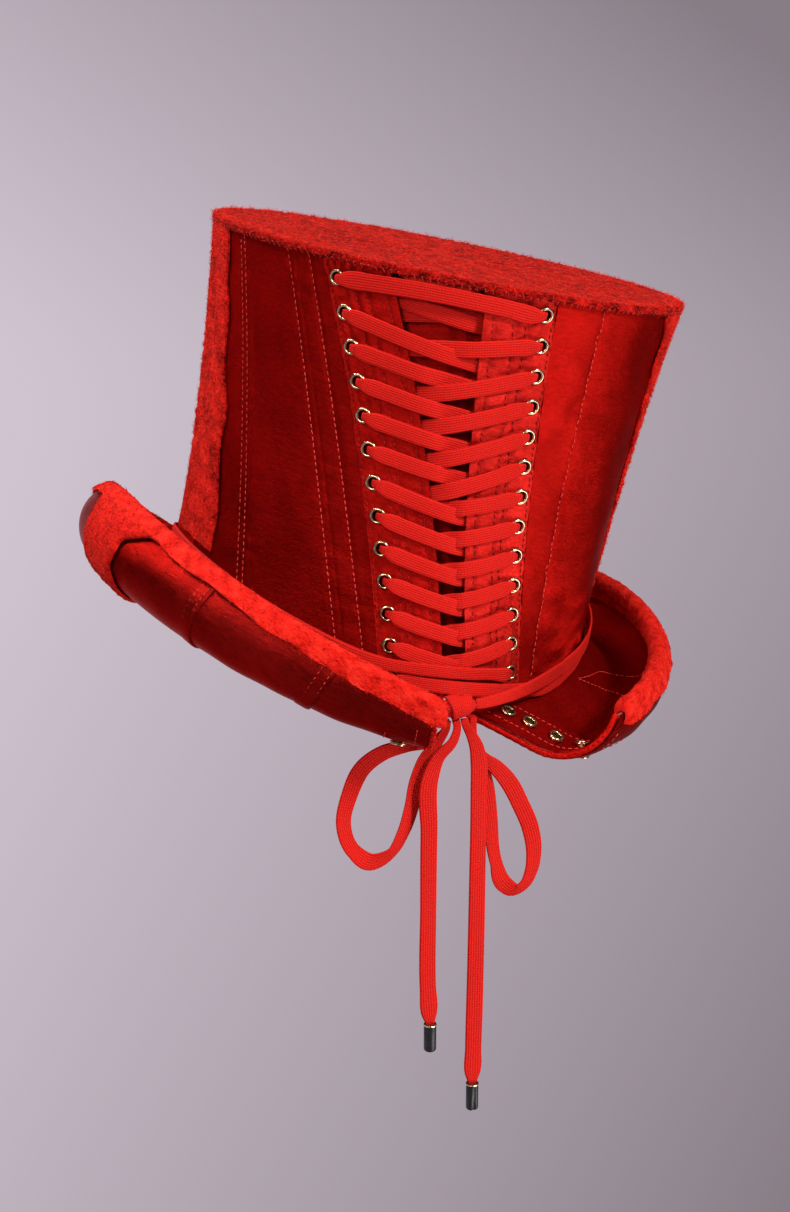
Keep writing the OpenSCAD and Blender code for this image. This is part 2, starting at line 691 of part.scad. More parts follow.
// Bar across the top between the first pair of eyelets
function bar() =
  let (r = eyelet_rows - 1)
  let (a = out_bend(-1, r, [0, row_z(1, r)]), b = out_bend(1, r, [0, row_z(-1, r)]))
  let (x = a[3], y = b[3])
  concat(a, [for (f = [0.15, 0.32, 0.5, 0.68, 0.85]) [mix(x[0], y[0], f), mix(x[1], y[1], f), 1.05, lace_w - 0.4, lace_t]],
    [for (i = [3 : -1 : 0]) b[i]]);
function flip(q) = [for (i = [len(q) - 1 : -1 : 0]) q[i]];
module lace() {
  path = concat(flip(half_lace(-1)), placed(to_phi(bar())), half_lace(1));
  n = len(path) - 1;
  color([0.86, 0.15, 0.12])
    loft([for (i = [0 : n])
      let (p = path[i], t = unit(path[min(i + 1, n)][0] - path[max(i - 1, 0)][0]))
      let (u = [flare(p[2]) * sin(p[1]), -flare(p[2]) * cos(p[1]), 1])
      ribbon(p[0], t, unit(u - (u * t) * t), p[3], p[4])]);
}

// Bow, in the frame in which the lace hangs straight down
knot_row = [knot_at[0] * cos(lean) + knot_at[2] * sin(lean), knot_at[1], -knot_at[0] * sin(lean) + knot_at[2] * cos(lean)];
drop0 = knot_r + bow_clear;
module bow_knot() {
  color([0.84, 0.14, 0.11])
    translate(knot_row)
      rotate([0, 90, 0])
        rotate_extrude($fn = 40)
          polygon([[0, -knot_l / 2], [knot_r - 1.2, -knot_l / 2], [knot_r - 0.3, -knot_l / 2 + 1.2],
            [knot_r, -knot_l / 2 + 3], [knot_r, knot_l / 2 - 3], [knot_r - 0.3, knot_l / 2 - 1.2],
            [knot_r - 1.2, knot_l / 2], [0, knot_l / 2]]);
}
// Ribbon through points that hold place and width, lying flat to the back
module hang(q) {
  n = len(q) - 1;
  ctr = [for (p = q) knot_row + [p[0], p[1], p[2]]];
  color([0.84, 0.14, 0.11])
    loft([for (i = [0 : n])
      let (t = unit(ctr[min(i + 1, n)] - ctr[max(i - 1, 0)]))
      let (f = [0, -1, 0], m = unit(f - (f * t) * t))
      ribbon(ctr[i], t, cross(m, t), q[i][3], len(q[i]) > 4 ? q[i][4] : loop_t)]);
}
module left_loop() {
  hang([[-4.3, 1, -drop0, 3], [-4.6, 1, -9.5, 3.2], [-10, 1.2, -13.5, 4], [-20, 1.4, -14, 5], [-30, 1.4, -15.5, 6.4],
    [-38, 1, -20, 7], [-44, 0.6, -31, 7], [-46.4, 0.4, -41, 7], [-43, 0.2, -53, 7], [-35.5, -0.2, -59.4, 7],
    [-27.6, -0.6, -57, 7], [-22.2, -0.9, -48.4, 7], [-18.9, -1, -38.4, 7], [-16.5, -1, -27, 6.6], [-13, -1, -18.5, 5.6],
    [-7.5, -1, -12.5, 4], [-4.8, -1, -drop0 - 3, 3.2], [-4.3, -1, -drop0, 3]]);
}
module right_loop() {
  hang([[6.5, -0.8, -drop0, 3], [6.5, -0.8, -12, 3.2], [7.4, -0.8, -17, 3.8], [10.5, -0.8, -22, 4.6], [16, -0.8, -27, 6],
    [22, -0.4, -34.5, 7], [27.4, 0, -45, 7], [31.6, 0.2, -55, 7], [33.6, 0.4, -66, 7], [32.4, 0.6, -76, 7],
    [26.7, 0.8, -82.4, 7], [20.5, 1, -78.6, 7], [17, 1, -66, 7], [15, 1, -50, 7], [13, 1, -36, 7], [10.5, 1, -25, 5.6],
    [7.6, 1, -16, 3.8], [6.5, 1, -drop0 - 5, 3.2], [6.5, 1, -drop0, 3]]);
}
module left_tail() {
  hang([[-0.7, -0.4, -drop0, 3.2], [-0.6, -1.9, -drop0 - 2, 3.2], [-3, -4.2, -12, 4], [-9.5, -tail_y, -18, 5.4],
    [-12.8, -tail_y, -26, 7], [-13.2, -tail_y, -48, 7], [-13.4, -tail_y, -left_tail_l * 0.62, 7],
    [-13.4, -tail_y, -left_tail_l + 16, 7], [-12.9, -tail_y, -left_tail_l + 6, 5.6],
    [-12.4, -tail_y, -left_tail_l - 0.5, 2.6, 1.7], [-12.4, -tail_y, -left_tail_l - 5, 2.4, 1.7]]);
}
module right_tail() {
  hang([[2.9, -0.4, -drop0, 3.2], [3, -1.4, -drop0 - 2, 3.2], [4, -4, -drop0 - 5, 4], [6, -tail_y, -15, 5.6],
    [7.3, -tail_y, -22, 7], [7.4, -tail_y, -34, 7], [7.2, -tail_y, -76, 7], [6.8, -tail_y, -right_tail_l * 0.72, 7],
    [6.3, -tail_y, -right_tail_l + 16, 7], [6.1, -tail_y, -right_tail_l + 6, 5.6],
    [6, -tail_y, -right_tail_l - 0.5, 2.6, 1.7], [6, -tail_y, -right_tail_l - 5, 2.4, 1.7]]);
}
module aglet(x, l) {
  color([0.05, 0.05, 0.05])
    translate(knot_row + [x, -tail_y, -l])
      rotate_extrude($fn = 32)
        polygon([[aglet_d / 2 - 0.5, 0], [aglet_d / 2, -0.3], [aglet_d / 2, -aglet_l + 0.8], [aglet_d / 2 - 0.8, -aglet_l],
          [0, -aglet_l], [0, -aglet_l + 1.5], [aglet_d / 2 - 0.5, -aglet_l + 1.5]]);
}
module left_aglet() {
  aglet(-12.4, left_tail_l);
}
module right_aglet() {
  aglet(6, right_tail_l);
}

rotate([0, lean, 0]) crown_foundation();
rotate([0, lean, 0]) tip_board();
rotate([0, lean, 0]) tip_felt();
rotate([0, lean, 0]) left_rear_panel();
rotate([0, lean, 0]) left_quarter_panel();
rotate([0, lean, 0]) left_side_panel();
rotate([0, lean, 0]) right_rear_panel();
rotate([0, lean, 0]) right_side_panel();
rotate([0, lean, 0]) front_panel();
rotate([0, lean, 0]) left_felt_strip();
rotate([0, lean, 0]) right_felt_strip();
rotate([0, lean, 0]) left_placket_facing();
rotate([0, lean, 0]) right_placket_facing();
rotate([0, lean, 0]) left_placket_backing();
rotate([0, lean, 0]) right_placket_backing();
rotate([0, lean, 0]) left_bone();
rotate([0, lean, 0]) right_bone();
rotate([0, lean, 0]) left_eyelets();
rotate([0, lean, 0]) right_eyelets();
rotate([0, lean, 0]) left_washers();
rotate([0, lean, 0]) right_washers();
rotate([0, lean, 0]) tongue();
rotate([0, lean, 0]) crown_lining();
rotate([0, lean, 0]) tip_lining();
rotate([0, lean, 0]) sweatband();
rotate([0, lean, 0]) brim_foundation();
rotate([0, lean, 0]) brim_satin();
rotate([0, lean, 0]) under_satin();
rotate([0, lean, 0]) brim_wire();
rotate([0, lean, 0]) brim_felt_band();
rotate([0, lean, 0]) left_under_strip();
rotate([0, lean, 0]) right_under_strip();
rotate([0, lean, 0]) left_split_binding();
rotate([0, lean, 0]) right_split_binding();
rotate([0, lean, 0]) left_brim_eyelets();
rotate([0, lean, 0]) right_brim_eyelets();
rotate([0, lean, 0]) left_brim_washers();
rotate([0, lean, 0]) right_brim_washers();
rotate([0, lean, 0]) lace();
bow_knot();
left_loop();
right_loop();
left_tail();
right_tail();
left_aglet();
right_aglet();
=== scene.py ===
import math

import bpy
import numpy as np
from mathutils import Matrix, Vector


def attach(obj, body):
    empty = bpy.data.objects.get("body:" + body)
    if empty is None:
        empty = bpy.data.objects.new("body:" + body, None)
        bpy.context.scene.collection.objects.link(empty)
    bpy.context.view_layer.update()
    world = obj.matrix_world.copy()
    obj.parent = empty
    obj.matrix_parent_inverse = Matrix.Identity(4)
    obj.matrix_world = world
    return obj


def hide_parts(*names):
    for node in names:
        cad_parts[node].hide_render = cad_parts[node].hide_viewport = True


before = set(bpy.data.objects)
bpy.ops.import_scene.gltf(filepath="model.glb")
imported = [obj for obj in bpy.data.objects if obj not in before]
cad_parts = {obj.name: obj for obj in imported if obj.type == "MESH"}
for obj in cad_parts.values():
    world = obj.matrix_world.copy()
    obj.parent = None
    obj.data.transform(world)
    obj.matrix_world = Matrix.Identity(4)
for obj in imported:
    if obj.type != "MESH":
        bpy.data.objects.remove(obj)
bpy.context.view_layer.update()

SCENE = bpy.context.scene
RNG = np.random.default_rng(7)
SIDES = ((-1, "left"), (1, "right"))
TURN = 2 * math.pi
DEG = 180 / math.pi

# Driving sizes of the hat, in millimetres and degrees
CROWN_H, WAIST_W, WAIST_H, TOP_W, OVAL = 151.0, 171.0, 38.0, 187.0, 26.0
TIP_RISE, TWIST, SIDE_H, BASE_DIP, LEAN = 5.0, 25.0, 8.0, 17.0, 12.5
SATIN_T, LINING_T, FELT_T, PLY = 0.6, 0.5, 1.4, 0.3
FOUND_T, BOARD_T, SKIRT, SWEAT_T, SWEAT_H = 1.5, 1.6, 2.9, 1.1, 34.0
ROWS, EYE_LOW, EYE_DOWN, SPREAD_LOW, SPREAD_TOP = 13, 1.4, 5.0, 25.5, 40.3
PLACKET_LOW, PLACKET_TOP, PLACKET_OUT, BORE, EYE_D = 20.5, 23.0, 5.0, 4.0, 6.5
LACE_W, LACE_T = 7.0, 1.2
LEFT_W, RIGHT_W, BACK_W = 67.0, 57.0, 58.0
LEFT_R, RIGHT_R, BACK_R = 14.8, 13.0, 18.6
LEFT_TURN, RIGHT_TURN, BACK_TURN = 183.0, 184.0, 83.0
LEFT_SLOPE, RIGHT_SLOPE, BACK_SLOPE = -15.0, -38.0, -10.5
FRONT_DIP, FRONT_SLOPE, FRONT_TURN = 27.0, -24.0, 66.0
SPLIT_LEFT, SPLIT_RIGHT, SPLAY_LEFT, SPLAY_RIGHT = 8.0, 5.0, 20.0, 47.0
# Width of the felt band above the brim's edge and below it
BAND_W, LIP = 9.0, 5.5
KNOT_L, KNOT_D, LEFT_TAIL, RIGHT_TAIL = 15.0, 9.0, 131.0, 161.0
AGLET_L, AGLET_D, TAIL_Y = 12.0, 5.0, 4.8
LACING = -2.0
DOUBLE_SEAM, TRIPLE_SEAM, RIGHT_SEAM = (-31, -39), (-59, -56), (23, 40)
STRIP_IN, STRIP_OUT, STRIP_MID = (-74, -68), (-95, -90), (-84, -80)
FACING_IN, BRIM_HALF, ROLL_R = 0.7, 0.75, 1.35
CORNER_R, BRIM_MIX = 4.0, 0.92
BRIM_EYE_S, BRIM_EYE_OFF = (4.8, 12.2, 22, 32), 9.5
SEAT_UP, SEAT_DOWN = 0.8, 0.45
# Millimetres of cloth for each degree round the brim, and the crown's mean radius
BRIM_MM, CROWN_R = 2.1, 92.0

# Sizes that follow from them
PITCH = (CROWN_H - EYE_DOWN - EYE_LOW) / (ROWS - 1)
BARREL_R = BORE / 2 + 0.45
LINING_OUT = SATIN_T + FOUND_T + 2 * PLY
LINING_IN = LINING_OUT + LINING_T
INNER_OUT = LINING_IN + PLY
BACKING_OUT = FACING_IN + PLY + 0.8 + PLY
BACKING_IN = BACKING_OUT + 0.7
RUN_IN = BACKING_IN + 2.2
TONGUE_OUT = RUN_IN + 1.2
BOARD_TOP = FELT_T + PLY
BS_IN = BRIM_HALF + PLY
BS_OUT = BS_IN + SATIN_T
FELT_IN = BS_OUT + 2 * PLY + 0.2
FELT_OUT = FELT_IN + FELT_T
TIP_IN, TIP_OUT = 2 * PLY, 2 * PLY + FELT_T
KNOT_AT = np.array([-7.5, -(WAIST_W / 2 + OVAL / 2 + 16.5), SIDE_H - BASE_DIP + 4])
DROP0 = KNOT_D / 2 + 0.5


def sind(a):
    return np.sin(np.radians(a))


def cosd(a):
    return np.cos(np.radians(a))


def mix(a, b, t):
    return a + (b - a) * t


def unit(v):
    return v / np.maximum(np.linalg.norm(v, axis=-1, keepdims=True), 1e-9)


def smooth(a, b, x):
    t = np.clip((x - a) / (b - a), 0, 1)
    return t * t * (3 - 2 * t)


def bell(x, width):
    return np.exp(-(x / width) ** 2)


def turns(n):
    return np.linspace(0, TURN, n, endpoint=False)


def steps(n):
    return np.linspace(0, 1, n)


LEAN_M = np.array([[cosd(LEAN), 0, sind(LEAN)], [0, 1, 0], [-sind(LEAN), 0, cosd(LEAN)]])
KNOT_ROW = LEAN_M @ KNOT_AT


def row(p):
    """Points of the upright hat as they stand with the hat leaning."""
    return np.asarray(p) @ LEAN_M.T


# Crown surface: p is the angle of a seam line, z the height, h the distance outwards
def half_w(z):
    return WAIST_W / 2 + (TOP_W - WAIST_W) / 2 * ((z - WAIST_H) / (CROWN_H - WAIST_H)) ** 2


def flare(z):
    return (TOP_W - WAIST_W) * (z - WAIST_H) / (CROWN_H - WAIST_H) ** 2


def turn(z):
    return -TWIST * z / CROWN_H


def ends(a, back, front):
    return np.where(cosd(a) < 0, front, back)


def base_z(a):
    return SIDE_H - ends(a, BASE_DIP, FRONT_DIP) * cosd(a) ** 2


def tip_z(a):
    return CROWN_H + TIP_RISE * cosd(a)


def crown_pt(p, z, h):
    a, w = p + turn(z), half_w(z)
    return np.stack([(w + h) * sind(a), -(w + OVAL / 2 + h) * cosd(a), z + 0 * a], -1)


def crown_n(p, z):
    a, w = p + turn(z), half_w(z)
    return unit(np.stack([sind(a) / w, -cosd(a) / (w + OVAL / 2), -flare(z) / w + 0 * a], -1))


def up_rows(z, most=1.0):
    return np.clip((z - EYE_LOW) / (CROWN_H - EYE_DOWN - EYE_LOW), 0, most)


def spread(z):
    return mix(SPREAD_LOW, SPREAD_TOP, up_rows(z, 1.05) ** 2)


def gap(z):
    return spread(z) - mix(PLACKET_LOW, PLACKET_TOP, up_rows(z))


def arc(w, z):
    return LACING + w / half_w(z) * DEG


def foot(p):
    return base_z(p + turn(base_z(p + turn(base_z(p)))))


def tip_down(p, mm):
    return tip_z(p + turn(CROWN_H)) - mm


def head(p):
    return tip_down(p, BOARD_TOP + PLY)


def under_tip(p):
    return tip_down(p, BOARD_TOP + BOARD_T + LINING_T + 3 * PLY)


def row_z(s, k):
    return EYE_LOW + k * PITCH + s * mix(6.9, 3.1, k / (ROWS - 1)) / 2


# Lines up the crown, each the angle at a height
def line_of(seam):
    return lambda z: mix(*seam, z / CROWN_H)


def placket_line(s, mm):
    return lambda z: arc(s * (gap(z) + mm), z)


def eyelet_line(s, mm):
    return lambda z: arc(s * (spread(z) + mm), z)


def shift(line, mm):
    return lambda z: line(z) + mm / half_w(z) * DEG


def around(line):
    return lambda z: 360 + line(z)


def mirrored(line):
    return lambda z: -line(z)


def off_line(p, z, line):
    """Distance in millimetres round the crown from a line."""
    return (p - line(z)) / DEG * half_w(z)


# Brim surface: a is the angle, s the distance from the crown along the curve
def sided(a, l, r):
    return np.where(sind(a) < 0, l, r)


def brim_k(a):
    return np.abs(sind(a)) ** BRIM_MIX


def brim_w(a):
    return mix(BACK_W, sided(a, LEFT_W, RIGHT_W), brim_k(a))


def brim_prof(a, s):
    k, w = brim_k(a), brim_w(a)
    c = np.minimum(s, w)
    r = mix(BACK_R, sided(a, LEFT_R, RIGHT_R), k)
    t = mix(ends(a, BACK_TURN, FRONT_TURN), sided(a, LEFT_TURN, RIGHT_TURN), k)
    q = mix(ends(a, BACK_SLOPE, FRONT_SLOPE), sided(a, LEFT_SLOPE, RIGHT_SLOPE), k)
    l = w - r * t / DEG
    e = q + np.maximum(c - l, 0) / r * DEG
    straight = np.clip(c, 0, l)
    x = straight * cosd(q) + r * (sind(e) - sind(q))
    y = straight * sind(q) + r * (cosd(q) - cosd(e))
    d = np.where(c < 0, 0, np.where(c <= l, q * smooth(0, 2, c), e))
    x = np.where(c < 0, c, x)
    y = np.where(c < 0, 0, y)
    return x + (s - c) * cosd(d), y + (s - c) * sind(d), d


def brim_out(a):
    w = half_w(base_z(a))
    return unit(np.stack([sind(a) / w, -cosd(a) / (w + OVAL / 2)], -1))


def brim_pt(a, s, h):
    fx, fy, d = brim_prof(a, s)
    w, n = half_w(base_z(a)), brim_out(a)
    r = fx - h * sind(d)
    return np.stack([w * sind(a) + r * n[..., 0], -(w + OVAL / 2) * cosd(a) + r * n[..., 1],
                     base_z(a) - BS_OUT - PLY + fy + h * cosd(d)], -1)


def splay(side):
    return SPLAY_LEFT if side < 0 else SPLAY_RIGHT


def edge_x(s, side):
    d = np.clip(s - BACK_W + CORNER_R, 0, CORNER_R - 0.2)
    half = SPLIT_LEFT if side < 0 else SPLIT_RIGHT
    slant = np.maximum(s, 0) * math.tan(math.radians(splay(side)))
    return half + slant + CORNER_R - np.sqrt(CORNER_R ** 2 - d * d)


def split_at(x, s):
    w = WAIST_W / 2 + 1
    return np.degrees(np.arcsin(x / (w + np.maximum(s, 0) * (w + OVAL / 2) / w)))


def split_a(s, off, side):
    return split_at(edge_x(s, side) + off / cosd(splay(side)), s)


def brim_angles(n, pad=0.0):
    start, end = (float(split_a(np.float64(BACK_W), 0.0, s)) + 0.1 + pad for s in (1, -1))
    return LACING + np.linspace(start, 360 - end, n)


def waves(x, y, seed, size, n=10):
    """A smooth random field between about -1 and 1, with features of that size."""
    g = np.random.default_rng(seed)
    f = np.zeros(np.broadcast(x, y).shape)
    for _ in range(n):
        t, k, ph = g.uniform(0, TURN), g.uniform(0.6, 1.5) * TURN / size, g.uniform(0, 6.3)
        f = f + np.sin(k * (x * math.cos(t) + y * math.sin(t)) + ph)
    return f / math.sqrt(n / 2) / 1.6


# Meshes
def linked(name, data):
    o = bpy.data.objects.new(name, data)
    SCENE.collection.objects.link(o)
    return o


def mesh(name, verts, faces, mat, slot, stands_for=None, uv=None, tone_and_shade=None, frame_row=False,
         body="hat", sharp=50):
    """A closed mesh in millimetres, as a piece that rides on a body."""
    v = np.asarray(verts, float)
    v = (v if frame_row else row(v)) / 1000
    f = [list(map(int, q)) for q in faces]
    tri = np.array([[q[0], q[k], q[k + 1]] for q in f for k in range(1, len(q) - 1)])
    if np.einsum("ij,ij->i", v[tri[:, 0]], np.cross(v[tri[:, 1]], v[tri[:, 2]])).sum() < 0:
        f = [q[::-1] for q in f]
    m = bpy.data.meshes.new(name)
    m.from_pydata(v.tolist(), [], f)
    loops = np.zeros(len(m.loops), np.int32)
    m.loops.foreach_get("vertex_index", loops)
    if uv is not None:
        m.uv_layers.new(name="UVMap").data.foreach_set("uv", np.asarray(uv, np.float32)[loops].ravel())
    if tone_and_shade is not None:
        m.attributes.new("tone_and_shade", "FLOAT", "POINT").data.foreach_set("value", np.asarray(tone_and_shade, np.float32))
    m.polygons.foreach_set("use_smooth", np.ones(len(m.polygons), bool))
    m.set_sharp_from_angle(angle=math.radians(sharp))
    m.materials.append(mat)
    o = linked(name, m)
    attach(o, body)
    if stands_for:
        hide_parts(stands_for)
    return o


def flat_uv(x, y, copies=1):
    return np.tile(np.stack(np.broadcast_arrays(x, y), -1).reshape(-1, 2), (copies, 1))


def shell_parts(out, inn):
    """A closed sheet between two grids of points."""
    nu, nv = out.shape[0] - 1, out.shape[1] - 1
    n, w = (nu + 1) * (nv + 1), nv + 1
    i, j = np.meshgrid(np.arange(nu), np.arange(nv), indexing="ij")
    a = (i * w + j).ravel()
    q = np.stack([a, a + w, a + w + 1, a + 1], -1)
    i, j, c = np.arange(nu) * w, np.arange(nv), nu * w
    faces = np.concatenate([
        q, q[:, ::-1] + n,
        np.stack([i, i + n, i + w + n, i + w], -1),
        np.stack([i + nv, i + w + nv, i + w + nv + n, i + nv + n], -1),
        np.stack([j, j + 1, j + 1 + n, j + n], -1),
        np.stack([c + j, c + j + n, c + j + 1 + n, c + j + 1], -1)])
    return np.concatenate([out.reshape(-1, 3), inn.reshape(-1, 3)]), faces


def loft_parts(rings, caps=True):
    m, n = rings.shape[:2]
    i, k = np.meshgrid(np.arange(m - 1), np.arange(n), indexing="ij")
    a = (i * n + k).ravel()
    b = (i * n + (k + 1) % n).ravel()
    faces = [list(x) for x in np.stack([a, b, b + n, a + n], -1)]
    if caps:
        faces += [list(range(n))[::-1], list((m - 1) * n + np.arange(n))]
    return rings.reshape(-1, 3), faces


def lathe(profile, n, at, axes):
    """A turned part from radius and height pairs, about the third axis."""
    a, m = turns(n), len(profile)
    round_it = np.cos(a)[:, None] * axes[0] + np.sin(a)[:, None] * axes[1]
    v, f = loft_parts(np.array([at + r * round_it + z * axes[2] for r, z in profile]), caps=False)
    return v, f + [[(m - 1) * n + k, (m - 1) * n + (k + 1) % n, (k + 1) % n, k] for k in range(n)]


class Parts:
    """Several closed meshes gathered into one piece."""

    def __init__(self):
        self.v, self.f, self.uv, self.n = [], [], [], 0

    def add(self, v, f, uv=None):
        self.f += [[x + self.n for x in q] for q in f]
        self.v.append(v)
        self.uv.append(np.zeros((len(v), 2)) if uv is None else uv)
        self.n += len(v)

    def make(self, name, mat, slot, **kw):
        return mesh(name, np.concatenate(self.v), self.f, mat, slot, uv=np.concatenate(self.uv), **kw)


def spline(points, step):
    """Points and extra columns through a row of points, evenly close."""
    p = np.asarray(points, float)
    d = np.maximum(np.linalg.norm(np.diff(p[:, :3], axis=0), axis=1), 1e-6)
    slope = np.diff(p, axis=0) / d[:, None]
    before, after = d[:-1, None], d[1:, None]
    m = np.concatenate([slope[:1], (slope[:-1] * after + slope[1:] * before) / (before + after), slope[-1:]])
    out = [p[:1]]
    for i, h in enumerate(d):
        k = max(1, int(math.ceil(h / step)))
        s = (np.arange(1, k + 1) / k)[:, None]
        out.append((2 * s ** 3 - 3 * s ** 2 + 1) * p[i] + (s ** 3 - 2 * s ** 2 + s) * h * m[i]
                   + (3 * s ** 2 - 2 * s ** 3) * p[i + 1] + (s ** 3 - s ** 2) * h * m[i + 1])
    return np.concatenate(out)


def tangents(c):
    return unit(np.concatenate([c[1:2] - c[:1], c[2:] - c[:-2], c[-1:] - c[-2:-1]]))


def run(c):
    """Distance along a line of points, from its start to each of them."""
    return np.concatenate([[0], np.cumsum(np.linalg.norm(np.diff(c, axis=0), axis=1))])


def ribbon_parts(c, v, w, t):
    """A flat knitted lace along its middle line c, with its width along v."""
    x, y = (np.sign(f) * np.abs(f) ** e for f, e in ((np.cos(turns(18)), 0.45), (np.sin(turns(18)), 0.75)))
    tan = tangents(c)
    v = unit(v - (v * tan).sum(-1, keepdims=True) * tan)
    n = np.cross(tan, v)
    dent = 1 - 0.16 * bell(x, 0.35)
    rings = (c[:, None] + v[:, None] * (x * w[:, None] / 2)[..., None]
             + n[:, None] * (y * dent * t[:, None] / 2)[..., None])
    side = np.where(y >= 0, x, 2 - x) * LACE_W / 2
    return *loft_parts(rings), flat_uv(side[None, :], run(c)[:, None])


# Materials
def node(t, kind, feeds=(), **props):
    """The outputs of a new node, whose inputs take numbers, colours or other nodes' outputs."""
    n = t.nodes.new("ShaderNode" + kind)
    for k, x in props.items():
        setattr(n, k, x)
    for k, x in feeds.items() if isinstance(feeds, dict) else enumerate(feeds):
        if isinstance(x, bpy.types.NodeSocket):
            t.links.new(x, n.inputs[k])
        else:
            n.inputs[k].default_value = x
    return n.outputs


def calc(t, op, *feeds):
    return node(t, "Math", feeds, operation=op)[0]


def total(t, start, *terms):
    for x, weight in terms:
        start = calc(t, "MULTIPLY_ADD", x, weight, start)
    return start


def noise(t, what, stretch, scale, detail=3.0, rough=0.6):
    at = node(t, "Mapping", {"Vector": node(t, "TexCoord")[what], "Scale": stretch})[0]
    return node(t, "TexNoise", {"Vector": at, "Scale": scale, "Detail": detail, "Roughness": rough})["Fac"]


def ripple(t, axis, period):
    across = node(t, "SeparateXYZ", [node(t, "TexCoord")["UV"]])[axis]
    return calc(t, "SINE", calc(t, "MULTIPLY", across, TURN / period))


def ramp(t, fac, stops):
    out = node(t, "ValToRGB", {"Fac": fac})["Color"]
    e = out.node.color_ramp.elements
    while len(e) < len(stops):
        e.new(0.5)
    for x, (pos, col) in zip(e, stops):
        x.position, x.color = pos, (*col, 1)
    return out


def material(name, values):
    """A material, its node tree and its shader, with the values that are the same all over."""
    m = bpy.data.materials.new(name)
    m.use_nodes = True
    b = m.node_tree.nodes["Principled BSDF"]
    for k, x in values.items():
        b.inputs[k].default_value = x
    return m, m.node_tree, b


def dress(t, b, fac, stops, height, strength, distance):
    """Colours the shader from a ramp and gives it a bump."""
    t.links.new(ramp(t, fac, stops), b.inputs["Base Color"])
    rise = node(t, "Bump", {"Strength": strength, "Distance": distance, "Height": height})[0]
    t.links.new(rise, b.inputs["Normal"])


def satin_mat(name, dark, light, rough=0.5, stretch=0.8):
    """Satin: long floats that carry a broad red gleam along the height of the wall."""
    m, t, b = material(name, {"Metallic": 0.94, "Anisotropic": stretch, "Anisotropic Rotation": 0.25,
                              "Specular IOR Level": 0.1, "Specular Tint": (1.0, 0.4, 0.38, 1)})
    soft = noise(t, "UV", (1, 1, 1), 0.05)
    crush = noise(t, "UV", (0.5, 1.4, 1), 0.5, 5.0, 0.75)
    fine = noise(t, "UV", (2.2, 0.6, 1), 1.6, 4.0, 0.75)
    t.links.new(calc(t, "MULTIPLY_ADD", crush, 0.24, rough - 0.12), b.inputs["Roughness"])
    # The colour's mottle is random tone and painted sheen: it is lighter where the crush bump rises
    both = total(t, 0.0, (soft, 0.34), (crush, 0.36), (fine, 0.3))
    dress(t, b, both, [(0.36, dark), (0.64, light)], total(t, crush, (fine, 0.6)), 0.75, 0.00035)
    return m


def felt_mat():
    """Felt: napped wool with pits and a soft sheen. Its colour darkens where the bump sinks, in the pits and
    gaps of the nap: random tone and painted shade. It also follows each piece's tone attribute.
    """
    m, t, b = material("felt", {"Roughness": 0.9, "Specular IOR Level": 0.04, "Sheen Weight": 0.16,
                                "Sheen Roughness": 0.45, "Sheen Tint": (1.0, 0.08, 0.05, 1)})
    f = total(t, node(t, "Attribute", attribute_name="tone_and_shade")["Fac"],
              (noise(t, "UV", (0.55, 1.5, 1), 0.9, 4.0, 0.75), 0.7),
              (noise(t, "Object", (1, 1, 1), 260.0, 2.0), 0.3))
    stops = [(0.32, (0.06, 0.0005, 0.0004)), (0.47, (0.38, 0.0047, 0.0026)), (0.58, (0.62, 0.011, 0.0055)),
             (0.9, (0.9, 0.05, 0.03))]
    dress(t, b, f, stops, f, 0.9, 0.0008)
    return m


def lace_mat():
    """Lace: knitted ribs along it and finer rows across. Its colour darkens in the grooves between the ribs,
    painted shade, with random tone from the noise.
    """
    m, t, b = material("lace_knit", {"Roughness": 0.72, "Specular IOR Level": 0.06, "Sheen Weight": 0.08,
                                     "Sheen Tint": (1.0, 0.1, 0.08, 1)})
    h = total(t, 0.0, (ripple(t, "X", 1.0), 0.2), (ripple(t, "Y", 1.1), 0.07))
    f = total(t, 0.24, (noise(t, "UV", (1, 1, 1), 1.6), 0.5), (h, 0.55))
    stops = [(0.2, (0.23, 0.0022, 0.0015)), (0.5, (0.5, 0.0082, 0.0052)), (0.8, (0.7, 0.024, 0.015))]
    dress(t, b, f, stops, h, 0.7, 0.0004)
    return m


def brass_mat():
    m, t, b = material("antique_brass", {"Metallic": 1.0})
    f = noise(t, "Object", (1, 1, 1), 420.0, 4.0, 0.65)
    t.links.new(calc(t, "MULTIPLY_ADD", f, 0.22, 0.12), b.inputs["Roughness"])
    dress(t, b, f, [(0.3, (0.30, 0.22, 0.11)), (0.65, (0.62, 0.5, 0.3))], f, 0.12, 0.0002)
    return m


def plain_mat(name, lo, hi, scale, rough, strength=0.3, metal=0.0, spec=0.3, grain=(4.0, 0.65), depth=0.0004):
    m, t, b = material(name, {"Roughness": rough, "Metallic": metal, "Specular IOR Level": spec})
    f = noise(t, "Object", (1, 1, 1), scale, *grain)
    dress(t, b, f, [(0.3, lo), (0.7, hi)], f, strength, depth)
    return m


def thread_mat(name, lo, hi):
    return plain_mat(name, lo, hi, 900.0, 0.6, 0.4, 0.0, 0.15, (2.0, 0.6), 0.0002)


def weave_mat(name, lo, hi, pitch, rough):
    m, t, b = material(name, {"Roughness": rough, "Specular IOR Level": 0.25})
    h = calc(t, "MULTIPLY", ripple(t, "X", pitch), ripple(t, "Y", pitch))
    dress(t, b, total(t, 0.5, (h, 0.25)), [(0.25, lo), (0.75, hi)], h, 0.4, 0.0002)
    return m


